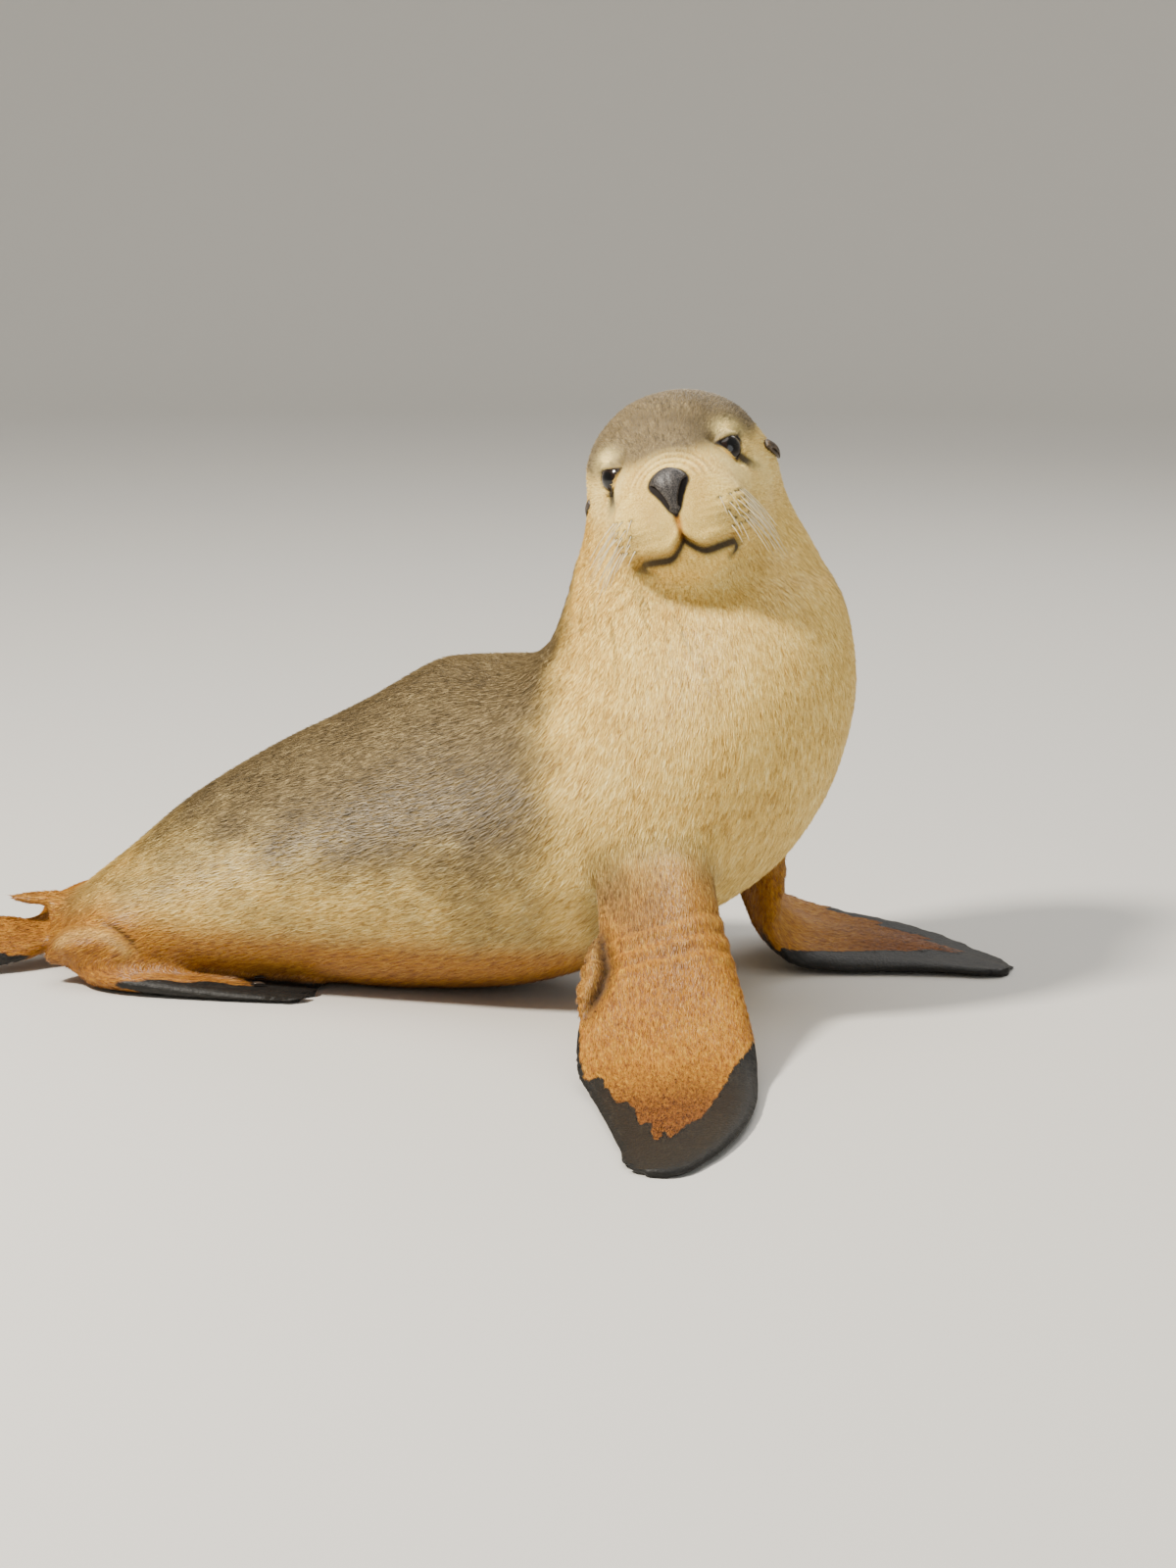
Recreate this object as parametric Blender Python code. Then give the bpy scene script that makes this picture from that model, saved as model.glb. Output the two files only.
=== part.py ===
"""A young Australian sea lion (Neophoca cinerea) sitting up on its foreflippers, at life size.

The belly and all four flippers rest on the plane z = 0. The body runs along +X, the head turns towards -Y, and
the right hind flipper is folded forward under the flank. Each form is a loft: a smooth row of oval sections that
pass through named landmarks. Neighbouring parts are kept a hair apart, so that each is one closed solid.
"""
import math

import bmesh
import bpy
import numpy as np
from mathutils import Vector

# ---------------------------------------------------------------- driving dimensions, metres and degrees

PARTING = 0.0003                 # gap between two neighbouring parts
BODY_SIDES = 28                  # corners of each section of the body
LIMB_SIDES = 12                  # corners of each section of a flipper
BALL_SIDES = 12                  # segments of an eye, an ear and the nose

# The landmarks below are measured from a point under the shoulders. This is where that point lies, so that the
# origin comes under the middle of the whole animal.
STANCE = (0.159, 0.137, 0.0)

# Trunk and neck. Each section: its middle (x, y, z), where the body points there (heading turns from +X
# towards -Y, pitch lifts), half its width, its reach above the middle and its reach below it.
TRUNK = {
    "rump":             (-0.500, 0.128, 0.036,   4,  6, 0.024, 0.014, 0.020),
    "seat":             (-0.470, 0.126, 0.046,   4, 10, 0.058, 0.031, 0.042),
    "hips":             (-0.420, 0.121, 0.060,   5, 14, 0.086, 0.054, 0.062),
    "haunch":           (-0.350, 0.112, 0.080,   7, 16, 0.105, 0.086, 0.088),
    "loin":             (-0.260, 0.098, 0.104,   9, 15, 0.121, 0.116, 0.113),
    "belly":            (-0.170, 0.080, 0.125,  13, 14, 0.132, 0.142, 0.134),
    "ribs":             (-0.090, 0.057, 0.148,  18, 20, 0.139, 0.161, 0.148),
    "chest":            (-0.010, 0.030, 0.186,  23, 38, 0.142, 0.153, 0.152),
    "shoulders":        ( 0.056, 0.008, 0.238,  30, 61, 0.144, 0.142, 0.163),
    "neck base":        ( 0.096, 0.003, 0.305,  38, 80, 0.142, 0.134, 0.146),
    "neck":             ( 0.104, 0.015, 0.362,  50, 87, 0.128, 0.122, 0.126),
    "upper neck":       ( 0.100, 0.032, 0.410,  66, 82, 0.107, 0.106, 0.106),
    "nape":             ( 0.094, 0.045, 0.452,  82, 72, 0.087, 0.084, 0.080),
    "inside the skull": ( 0.088, 0.045, 0.488,  92, 60, 0.054, 0.050, 0.048),
}
TRUNK_RINGS = 30
NECK_STARTS = 0.735              # where along the loft the neck is parted from the trunk

# Tail, from inside the rump to its tip.
TAIL = (
    (-0.460, 0.128, 0.058, 180, 0, 0.020, 0.015), (-0.490, 0.128, 0.062, 180, 0, 0.018, 0.013),
    (-0.515, 0.127, 0.064, 180, 0, 0.014, 0.010), (-0.536, 0.126, 0.065, 180, 0, 0.008, 0.007),
    (-0.544, 0.126, 0.065, 180, 0, 0.004, 0.004),
)

# Head, about the point midway between the eyes. Each section: distance ahead of the eyes, its top line, its
# widest height, its bottom line, half its width, and how full its upper and lower halves are (2 is an ellipse).
HEAD_AT = (0.074, -0.006, 0.486)
HEAD_HEADING, HEAD_PITCH, HEAD_ROLL = 97.0, 12.0, 16.0
HEAD = {
    "back of the skull": (-0.128,  0.018, -0.030, -0.080, 0.050, 2.0, 2.0),
    "occiput":           (-0.115,  0.042, -0.028, -0.094, 0.074, 2.0, 2.0),
    "behind the ears":   (-0.090,  0.061, -0.024, -0.103, 0.087, 2.1, 2.0),
    "ears":              (-0.060,  0.071, -0.022, -0.107, 0.090, 2.2, 2.0),
    "temples":           (-0.030,  0.071, -0.024, -0.108, 0.084, 2.2, 1.9),
    "eyes":              ( 0.000,  0.058, -0.036, -0.108, 0.073, 2.2, 1.9),
    "stop":              ( 0.028,  0.034, -0.047, -0.108, 0.064, 2.0, 1.85),
    "bridge":            ( 0.050,  0.015, -0.053, -0.107, 0.060, 1.9, 1.8),
    "whisker pads":      ( 0.071,  0.000, -0.055, -0.102, 0.059, 1.8, 1.8),
    "lips":              ( 0.088, -0.007, -0.054, -0.091, 0.052, 1.9, 1.9),
    "front lip":         ( 0.100, -0.012, -0.050, -0.077, 0.037, 2.0, 2.0),
    "muzzle front":      ( 0.107, -0.022, -0.045, -0.064, 0.018, 2.0, 2.0),
}
HEAD_RINGS = 28

# Swellings and hollows of the head: place ahead, aside and up of the eyes' midpoint, reach of the form in those
# directions, and how far it stands out. A pair lies on both sides.
HEAD_FORMS = {
    "brow ridge":   ((-0.006, 0.050,  0.026), (0.022, 0.020, 0.016),  0.0040),
    "eye socket":   (( 0.012, 0.066, -0.004), (0.020, 0.022, 0.015), -0.0050),
    "whisker pad":  (( 0.080, 0.038, -0.056), (0.026, 0.026, 0.017),  0.0060),
    "cheek":        (( 0.010, 0.070, -0.055), (0.034, 0.026, 0.026),  0.0030),
    "chin":         (( 0.072, 0.000, -0.100), (0.026, 0.024, 0.016),  0.0045),
    "nose bridge":  (( 0.062, 0.000,  0.004), (0.034, 0.016, 0.014),  0.0030),
    "lip lobe":     (( 0.090, 0.021, -0.069), (0.020, 0.018, 0.013),  0.0045),
}
MOUTH_HEIGHT, MOUTH_DEPTH, MOUTH_BREADTH = -0.0765, 0.0050, 0.0055
MOUTH_LOBE_DROP, MOUTH_LOBE_ASIDE, MOUTH_CORNER_RISE = 0.010, 0.015, 0.003
MOUTH_CORNER_AHEAD, MOUTH_CORNER_ASIDE = 0.052, 0.052

EYE_AT = (0.0070, 0.0440, 0.000)
EYE_RADIUS = 0.0190
EAR_AT = (-0.064, 0.0845, -0.006)
EAR_LENGTH, EAR_WIDTH, EAR_THICKNESS = 0.030, 0.0125, 0.0075
NOSE_AT = (0.101, 0.0, -0.034)
NOSE_DEPTH, NOSE_WIDTH, NOSE_HEIGHT = 0.013, 0.0160, 0.0225      # half sizes
NOSE_NARROWING = 0.28            # how much narrower the nose is below than above

# Parts that reach the floor and are flattened there, and the depth of the block below the floor.
STANDING = ("trunk", "foreflipper_right", "foreflipper_left", "hindflipper_right", "hindflipper_left")
FLOOR_DEPTH = 0.2

# Foreflippers. Along the limb from inside the shoulder: distance, half the chord, half the thickness.
FORE_PLAN = (
    (0.000, 0.060, 0.040), (0.040, 0.064, 0.058), (0.085, 0.056, 0.049), (0.135, 0.051, 0.037),
    (0.185, 0.060, 0.028), (0.240, 0.071, 0.020), (0.290, 0.075, 0.015), (0.330, 0.070, 0.0120),
    (0.380, 0.062, 0.0102), (0.430, 0.051, 0.0088), (0.480, 0.036, 0.0074), (0.510, 0.024, 0.0062),
    (0.525, 0.008, 0.0048),
)
# Their course: x, y, z, heading of the blade, roll.
FORE_RIGHT = (
    (0.030, -0.048, 0.232, 88, 0), (0.040, -0.072, 0.202, 88, 0), (0.052, -0.100, 0.163, 88, 0),
    (0.060, -0.136, 0.120, 88, 0), (0.063, -0.175, 0.080, 88, 0), (0.064, -0.218, 0.042, 88, 0),
    (0.066, -0.265, 0.0155, 90, 0), (0.070, -0.305, 0.0080, 92, 0), (0.071, -0.356, 0.0063, 96, 0),
    (0.068, -0.408, 0.0053, 104, 0), (0.060, -0.458, 0.0043, 112, 0), (0.050, -0.488, 0.0036, 118, 0),
    (0.042, -0.503, 0.0030, 120, 0),
)
FORE_LEFT = (
    (0.090, 0.074, 0.232, -54, 0), (0.104, 0.095, 0.202, -54, 0), (0.124, 0.122, 0.163, -48, 0),
    (0.142, 0.142, 0.120, -36, 0), (0.155, 0.153, 0.082, -20, 4), (0.168, 0.158, 0.048, -6, 7),
    (0.200, 0.158, 0.0245, 3, 9), (0.237, 0.152, 0.0170, 6, 9), (0.283, 0.142, 0.0135, 4, 8),
    (0.328, 0.126, 0.0095, -2, 6), (0.366, 0.106, 0.0051, -10, 3), (0.387, 0.092, 0.0034, -18, 0),
    (0.397, 0.085, 0.0025, -22, 0),
)

# Hind legs, from inside the hip to the heel: x, y, z, heading, roll, half the chord, half the thickness.
HIND_LEG_RIGHT = (
    (-0.350, 0.084, 0.062, 180, 0, 0.030, 0.042), (-0.388, 0.068, 0.058, 180, 0, 0.036, 0.050),
    (-0.428, 0.060, 0.048, 178, 0, 0.035, 0.044), (-0.462, 0.058, 0.038, 176, 0, 0.029, 0.035),
    (-0.486, 0.058, 0.029, 176, 0, 0.020, 0.024), (-0.498, 0.058, 0.024, 176, 0, 0.008, 0.010),
)
HIND_LEG_LEFT = (
    (-0.390, 0.165, 0.056, 180, 0, 0.030, 0.040), (-0.430, 0.178, 0.050, 180, 0, 0.036, 0.044),
    (-0.468, 0.176, 0.044, 178, 0, 0.033, 0.038), (-0.500, 0.166, 0.038, 176, 0, 0.028, 0.030),
    (-0.518, 0.160, 0.036, 176, 0, 0.016, 0.020),
)
# Hind flippers: half the chord and half the thickness from the heel to the ends of the toe flaps.
HIND_PLAN = (
    (0.000, 0.024, 0.019), (0.040, 0.029, 0.017), (0.080, 0.031, 0.014), (0.120, 0.035, 0.0105),
    (0.160, 0.042, 0.0080), (0.195, 0.048, 0.0062), (0.220, 0.050, 0.0050), (0.232, 0.046, 0.0040),
)
HIND_RIGHT = (
    (-0.470, 0.056, 0.0160, 2, 0), (-0.432, 0.044, 0.0120, 3, 0), (-0.394, 0.035, 0.0095, 3, 0),
    (-0.356, 0.031, 0.0070, 2, 0), (-0.316, 0.031, 0.0052, 0, 0), (-0.281, 0.033, 0.0040, -2, 0),
    (-0.256, 0.035, 0.0033, -2, 0), (-0.244, 0.036, 0.0029, -2, 0),
)
HIND_LEFT = (
    (-0.485, 0.150, 0.0330, 176, -12), (-0.525, 0.126, 0.0275, 174, -24), (-0.565, 0.108, 0.0270, 172, -34),
    (-0.605, 0.097, 0.0250, 170, -32), (-0.645, 0.090, 0.0180, 170, -22), (-0.680, 0.087, 0.0095, 170, -10),
    (-0.704, 0.086, 0.0040, 170, 0), (-0.716, 0.085, 0.0026, 170, 0),
)

# ---------------------------------------------------------------- lofts

def heading_frame(heading, pitch, roll=0.0):
    """Forward, left and up of a part that points along a heading and a pitch, rolled with its left side up."""
    h, p, r = (math.radians(angle) for angle in (heading, pitch, roll))
    forward = np.array((math.cos(p) * math.cos(h), -math.cos(p) * math.sin(h), math.sin(p)))
    left = np.array((math.sin(h), math.cos(h), 0.0))
    up = np.cross(forward, left)
    return forward, left * math.cos(r) + up * math.sin(r), up * math.cos(r) - left * math.sin(r)


def smooth_rows(rows, at, reach=3):
    """The rows of a smooth curve through the given rows, at fractions of its length over the first columns."""
    rows = np.array(rows, float)
    knots = np.concatenate([[0], np.cumsum(np.linalg.norm(np.diff(rows[:, :reach], axis=0), axis=1))])
    slopes = np.gradient(rows, knots, axis=0)
    place = np.clip(np.asarray(at, float), 0, 1) * knots[-1]
    i = np.clip(np.searchsorted(knots, place, side="right") - 1, 0, len(rows) - 2)
    span = (knots[i + 1] - knots[i])[:, None]
    t = (place - knots[i])[:, None] / span
    start, end = rows[i], rows[i + 1]
    return ((2 * t**3 - 3 * t**2 + 1) * start + (t**3 - 2 * t**2 + t) * slopes[i] * span
            + (3 * t**2 - 2 * t**3) * end + (t**3 - t**2) * slopes[i + 1] * span)


def oval(sides, half_width, rise, drop, full_above=2.0, full_below=2.0):
    """Points across and up of a section with a different height and fullness above and below its middle."""
    angle = np.arange(sides) * 2 * math.pi / sides
    c, s = np.cos(angle), np.sin(angle)
    full = np.where(s > 0, full_above, full_below)
    across = half_width * np.sign(c) * np.abs(c) ** (2 / full)
    up = np.where(s > 0, rise, drop) * np.sign(s) * np.abs(s) ** (2 / full)
    return across, up


def lengthened(rings, grow):
    """The same sections, with the first and last moved outward so that the ends grow with the sides."""
    for end, inner in ((0, 1), (-1, -2)):
        step = rings[end].mean(axis=0) - rings[inner].mean(axis=0)
        rings[end] = rings[end] + grow * step / np.linalg.norm(step)
    return rings


def closed_loft(name, rings):
    """A closed mesh object over rows of points, each end closed by a fan about its middle.

    Every cell is split along the same diagonal, so that a form and its grown cutter stay parallel.
    """
    count, sides = len(rings), len(rings[0])
    verts = [tuple(point) for ring in rings for point in ring]
    verts += [tuple(np.mean(rings[0], axis=0)), tuple(np.mean(rings[-1], axis=0))]
    faces = []
    for i in range(count - 1):
        for j in range(sides):
            k = (j + 1) % sides
            a, b, c, d = i * sides + j, i * sides + k, (i + 1) * sides + k, (i + 1) * sides + j
            faces += [(a, b, c), (a, c, d)]
    last = (count - 1) * sides
    for j in range(sides):
        k = (j + 1) % sides
        faces.append((count * sides, k, j))
        faces.append((count * sides + 1, last + j, last + k))
    mesh = bpy.data.meshes.new(name)
    mesh.from_pydata(verts, [], faces)
    shape = bmesh.new()
    shape.from_mesh(mesh)
    bmesh.ops.recalc_face_normals(shape, faces=shape.faces[:])
    shape.to_mesh(mesh)
    shape.free()
    obj = bpy.data.objects.new(name, mesh)
    bpy.context.scene.collection.objects.link(obj)
    return obj


def trunk_rings(first, last, grow=0.0):
    """Sections of the trunk and neck between two fractions of its length."""
    count = max(3, round(TRUNK_RINGS * (last - first)))
    rings = []
    for x, y, z, heading, pitch, wide, rise, drop in smooth_rows(list(TRUNK.values()),
                                                                 np.linspace(first, last, count)):
        _, left, up = heading_frame(heading, pitch)
        across, height = oval(BODY_SIDES, wide + grow, rise + grow, drop + grow)
        rings.append(np.array((x, y, z)) + np.outer(across, left) + np.outer(height, up))
    return rings


def head_place(local):
    """World places of points given ahead, aside to the animal's left, and up of the eyes' midpoint."""
    forward, left, up = heading_frame(HEAD_HEADING, HEAD_PITCH, HEAD_ROLL)
    local = np.atleast_2d(local)
    return np.array(HEAD_AT) + np.outer(local[:, 0], forward) + np.outer(local[:, 1], left) + np.outer(local[:, 2], up)


def sculpt_head(local):
    """Points of the head with its swellings, hollows and mouth line; each is moved out from the head's core."""
    core = np.stack([np.clip(local[:, 0], -0.05, 0.06), 0 * local[:, 1],
                     np.full(len(local), -0.02) - 0.25 * np.clip(local[:, 0], 0, 0.12)], axis=1)
    out = local - core
    out /= np.maximum(np.linalg.norm(out, axis=1), 1e-6)[:, None]
    push = np.zeros(len(local))
    for (ahead, aside, up), reach, height in HEAD_FORMS.values():
        for side in (1, -1) if aside else (1,):
            off = (local - (ahead, side * aside, up)) / reach
            push += height * np.exp(-(off ** 2).sum(axis=1))
    aside = np.abs(local[:, 1])
    dip = np.clip(aside / MOUTH_LOBE_ASIDE, 0, 1)
    line = (MOUTH_HEIGHT - MOUTH_LOBE_DROP * dip * dip * (3 - 2 * dip)
            + MOUTH_CORNER_RISE * (aside / MOUTH_CORNER_ASIDE) ** 2)
    ends = 1 / (1 + np.exp(-(local[:, 0] - MOUTH_CORNER_AHEAD) / 0.004))
    push -= MOUTH_DEPTH * ends * np.exp(-((local[:, 2] - line) / MOUTH_BREADTH) ** 2)
    return local + out * push[:, None]


def head_rings(grow=0.0):
    rings = []
    for ahead, top, middle, bottom, wide, above, below in smooth_rows(list(HEAD.values()),
                                                                      np.linspace(0, 1, HEAD_RINGS), reach=4):
        across, height = oval(BODY_SIDES, wide + grow, top - middle + grow, middle - bottom + grow, above, below)
        local = np.stack([np.full(BODY_SIDES, ahead), across, height + middle], axis=1)
        rings.append(head_place(sculpt_head(local)))
    return lengthened(rings, grow)


def limb_rings(path, plan, lead, grow=0.0, rings_count=19):
    """Sections of a flipper along its path; lead is +1 where its thick leading edge is on its left."""
    at = np.linspace(0, 1, rings_count)
    path_rows = smooth_rows(path, at)
    plan_rows = smooth_rows(plan, at, reach=1)
    places = path_rows[:, :3]
    tangents = np.gradient(places, axis=0)
    rings = []
    for row, (_, chord, thick), tangent in zip(path_rows, plan_rows, tangents):
        x, y, z, heading, roll = row
        h = math.radians(heading)
        left = np.array((math.sin(h), math.cos(h), 0.0))
        along = tangent / np.linalg.norm(tangent)
        left -= along * left.dot(along)
        left /= np.linalg.norm(left)
        up = np.cross(along, left)
        up /= np.linalg.norm(up)
        r = math.radians(roll)
        left, up = left * math.cos(r) + up * math.sin(r), up * math.cos(r) - left * math.sin(r)
        across, height = oval(LIMB_SIDES, chord + grow, thick + grow, thick + grow)
        thin = 1 - 0.55 * (1 - lead * across / (chord + grow)) / 2
        rings.append(np.array((x, y, z)) + np.outer(across, left) + np.outer(height * thin, up))
    return lengthened(rings, grow)


def leg_rings(rows, grow=0.0, rings_count=9):
    """Sections of a leg or tail whose rows hold both its course and its half sizes."""
    lengths = np.concatenate([[0], np.cumsum(np.linalg.norm(np.diff(np.array(rows)[:, :3], axis=0), axis=1))])
    plan = [(length, row[5], row[6]) for length, row in zip(lengths, rows)]
    return limb_rings([row[:5] for row in rows], plan, 0, grow, rings_count)

# ---------------------------------------------------------------- the small parts of the head

def head_ball(name, at, half_sizes, grow=0.0, narrowing=0.0):
    """An ellipsoid set in the head's own directions; narrowing draws its lower end in."""
    shape = bmesh.new()
    bmesh.ops.create_uvsphere(shape, u_segments=BALL_SIDES, v_segments=BALL_SIDES * 2 // 3, radius=1.0)
    sizes = np.array(half_sizes) + grow
    for vert in shape.verts:
        x, y, z = vert.co
        place = np.array((x, y * (1 + narrowing * z), z)) * sizes + at
        vert.co = Vector(head_place(place)[0])
    bmesh.ops.recalc_face_normals(shape, faces=shape.faces[:])
    mesh = bpy.data.meshes.new(name)
    shape.to_mesh(mesh)
    shape.free()
    obj = bpy.data.objects.new(name, mesh)
    bpy.context.scene.collection.objects.link(obj)
    return obj


def eye(name, side, grow=0.0):
    ahead, aside, up = EYE_AT
    return head_ball(name, (ahead, side * aside, up), [EYE_RADIUS] * 3, grow)


def ear(name, side, grow=0.0):
    ahead, aside, up = EAR_AT
    return head_ball(name, (ahead, side * aside, up), (EAR_LENGTH / 2, EAR_THICKNESS, EAR_WIDTH / 2), grow)


def nose(name, grow=0.0):
    return head_ball(name, NOSE_AT, (NOSE_DEPTH, NOSE_WIDTH, NOSE_HEIGHT), grow, NOSE_NARROWING)

# ---------------------------------------------------------------- materials and parting

def principled(name, colour, roughness):
    """A plain Principled material from a linear colour."""
    material = bpy.data.materials.new(name)
    material.use_nodes = True
    shader = material.node_tree.nodes["Principled BSDF"]
    shader.inputs["Base Color"].default_value = (*colour, 1.0)
    shader.inputs["Roughness"].default_value = roughness
    return material


def move_to(collection, obj):
    for other in list(obj.users_collection):
        other.objects.unlink(obj)
    collection.objects.link(obj)


def cut(target, cutter):
    """Take the cutter's volume out of a part."""
    modifier = target.modifiers.new("parted from " + cutter.name, "BOOLEAN")
    modifier.operation = "DIFFERENCE"
    modifier.solver = "EXACT"
    modifier.object = cutter


def main():
    for obj in list(bpy.data.objects):
        bpy.data.objects.remove(obj)
    scene = bpy.context.scene
    animal = bpy.data.collections.new("Sea lion")
    cutters = bpy.data.collections.new("Cutters")
    for collection in (animal, cutters):
        scene.collection.children.link(collection)
    stance = bpy.data.objects.new("stance", None)
    stance.location = STANCE
    animal.objects.link(stance)

    coat_back = principled("short fur, grey brown", (0.21, 0.17, 0.115), 0.75)
    coat_front = principled("short fur, cream", (0.48, 0.40, 0.22), 0.75)
    bare_skin = principled("bare flipper skin", (0.33, 0.17, 0.06), 0.6)
    leather = principled("nose leather", (0.035, 0.033, 0.035), 0.45)
    eyeball = principled("eye", (0.012, 0.009, 0.008), 0.08)

    # Every part as (maker, material). A maker takes a name and how far the form is grown.
    neck_start = NECK_STARTS + PARTING / 2
    makers = {
        "trunk": (lambda n, g: closed_loft(n, trunk_rings(0, NECK_STARTS - PARTING / 2, g)), coat_back),
        "neck": (lambda n, g: closed_loft(n, trunk_rings(neck_start, 1, g)), coat_front),
        "head": (lambda n, g: closed_loft(n, head_rings(g)), coat_front),
        "tail": (lambda n, g: closed_loft(n, leg_rings(TAIL, g)), coat_back),
        "foreflipper_right": (lambda n, g: closed_loft(n, limb_rings(FORE_RIGHT, FORE_PLAN, 1, g)), bare_skin),
        "foreflipper_left": (lambda n, g: closed_loft(n, limb_rings(FORE_LEFT, FORE_PLAN, -1, g)), bare_skin),
        "hindleg_right": (lambda n, g: closed_loft(n, leg_rings(HIND_LEG_RIGHT, g)), bare_skin),
        "hindleg_left": (lambda n, g: closed_loft(n, leg_rings(HIND_LEG_LEFT, g)), bare_skin),
        "hindflipper_right": (lambda n, g: closed_loft(n, limb_rings(HIND_RIGHT, HIND_PLAN, 0, g)), bare_skin),
        "hindflipper_left": (lambda n, g: closed_loft(n, limb_rings(HIND_LEFT, HIND_PLAN, 0, g)), bare_skin),
        "eye_right": (lambda n, g: eye(n, -1, g), eyeball),
        "eye_left": (lambda n, g: eye(n, 1, g), eyeball),
        "ear_right": (lambda n, g: ear(n, -1, g), leather),
        "ear_left": (lambda n, g: ear(n, 1, g), leather),
        "nose": (nose, leather),
    }
    # What gives way to what: the first part is cut by the grown form of each of the others.
    gives_way = {
        "trunk": ("foreflipper_right", "foreflipper_left", "hindleg_right", "hindleg_left", "hindflipper_right",
                  "hindflipper_left", "tail"),
        "neck": ("head", "ear_right", "ear_left", "foreflipper_right", "foreflipper_left"),
        "head": ("eye_right", "eye_left", "ear_right", "ear_left", "nose"),
        "hindleg_right": ("hindflipper_right",),
        "hindleg_left": ("hindflipper_left", "tail"),
        "tail": ("hindflipper_left",),
    }
    parts = {}
    for name, (maker, material) in makers.items():
        obj = maker(name, 0.0)
        obj.data.materials.append(material)
        obj.data.shade_smooth()
        obj.parent = stance
        move_to(animal, obj)
        parts[name] = obj
    grown = {}
    for name in sorted({other for others in gives_way.values() for other in others}):
        grown[name] = makers[name][0]("room for " + name, PARTING)
        grown[name].parent = stance
        move_to(cutters, grown[name])

    bpy.ops.mesh.primitive_cube_add(size=1, location=(0, 0, -FLOOR_DEPTH / 2))
    floor = bpy.context.object
    floor.name = "below the floor"
    floor.scale = (3, 3, FLOOR_DEPTH)
    move_to(cutters, floor)
    for cutter in cutters.objects:
        cutter.hide_render = True
        cutter.display_type = "WIRE"

    for name, others in gives_way.items():
        for other in others:
            cut(parts[name], grown[other])
    for name in STANDING:
        cut(parts[name], floor)


main()
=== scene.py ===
"""Looks of a young Australian sea lion that sits up on its foreflippers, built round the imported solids.

One skin replaces all the solids of flesh. It is made from the same row of named sections as the solids, a
coat's depth smaller, joined into one surface, sculpted and marked. Short fur lies over it as small solid
tufts. Eyes, ears, nose, whiskers and claws are pieces of their own. Units are metres and degrees.
"""
import math
from functools import partial

import bmesh
import bpy
import mathutils.noise
import numpy as np
from bpy.props import FloatProperty, FloatVectorProperty, PointerProperty
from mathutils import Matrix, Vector
from mathutils.bvhtree import BVHTree


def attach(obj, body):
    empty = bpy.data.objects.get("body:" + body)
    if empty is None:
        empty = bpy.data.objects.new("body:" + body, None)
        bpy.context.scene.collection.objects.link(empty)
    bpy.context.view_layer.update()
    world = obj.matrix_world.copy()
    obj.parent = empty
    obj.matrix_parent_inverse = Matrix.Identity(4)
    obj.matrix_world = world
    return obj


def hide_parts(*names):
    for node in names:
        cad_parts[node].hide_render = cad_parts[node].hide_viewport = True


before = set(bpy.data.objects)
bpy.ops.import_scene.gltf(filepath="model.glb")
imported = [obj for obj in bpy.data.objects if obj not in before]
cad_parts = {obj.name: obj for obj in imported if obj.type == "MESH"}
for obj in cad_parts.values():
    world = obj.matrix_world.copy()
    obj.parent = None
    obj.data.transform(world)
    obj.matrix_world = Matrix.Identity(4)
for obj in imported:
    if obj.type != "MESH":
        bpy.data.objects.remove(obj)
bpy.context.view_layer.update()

bl_info = {
    "name": "Young sea lion",
    "version": (1, 0, 0),
    "blender": (4, 5, 0),
    "location": "3D View > Sidebar > Sea lion",
    "description": "Builds the skin, coat and small parts of a sitting sea lion round its solids",
    "category": "Object",
}

SIDES = {"right": -1, "left": 1}         # the animal's own right and left

# ---------------------------------------------------------------- the animal's sections, as in its solids

STANCE = np.array((0.159, 0.137, 0.0))

# Trunk and neck: middle (x, y, z), heading, pitch, half the width, reach above the middle, reach below it.
TRUNK = {
    "rump":             (-0.500, 0.128, 0.036,   4,  6, 0.024, 0.014, 0.020),
    "seat":             (-0.470, 0.126, 0.046,   4, 10, 0.058, 0.031, 0.042),
    "hips":             (-0.420, 0.121, 0.060,   5, 14, 0.086, 0.054, 0.062),
    "haunch":           (-0.350, 0.112, 0.080,   7, 16, 0.105, 0.086, 0.088),
    "loin":             (-0.260, 0.098, 0.104,   9, 15, 0.121, 0.116, 0.113),
    "belly":            (-0.170, 0.080, 0.125,  13, 14, 0.132, 0.142, 0.134),
    "ribs":             (-0.090, 0.057, 0.148,  18, 20, 0.139, 0.161, 0.148),
    "chest":            (-0.010, 0.030, 0.186,  23, 38, 0.142, 0.153, 0.152),
    "shoulders":        ( 0.056, 0.008, 0.238,  30, 61, 0.144, 0.142, 0.163),
    "neck base":        ( 0.096, 0.003, 0.305,  38, 80, 0.142, 0.134, 0.146),
    "neck":             ( 0.104, 0.015, 0.362,  50, 87, 0.128, 0.122, 0.126),
    "upper neck":       ( 0.100, 0.032, 0.410,  66, 82, 0.107, 0.106, 0.106),
    "nape":             ( 0.094, 0.045, 0.452,  82, 72, 0.087, 0.084, 0.080),
    "inside the skull": ( 0.088, 0.045, 0.488,  92, 60, 0.054, 0.050, 0.048),
}

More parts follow.
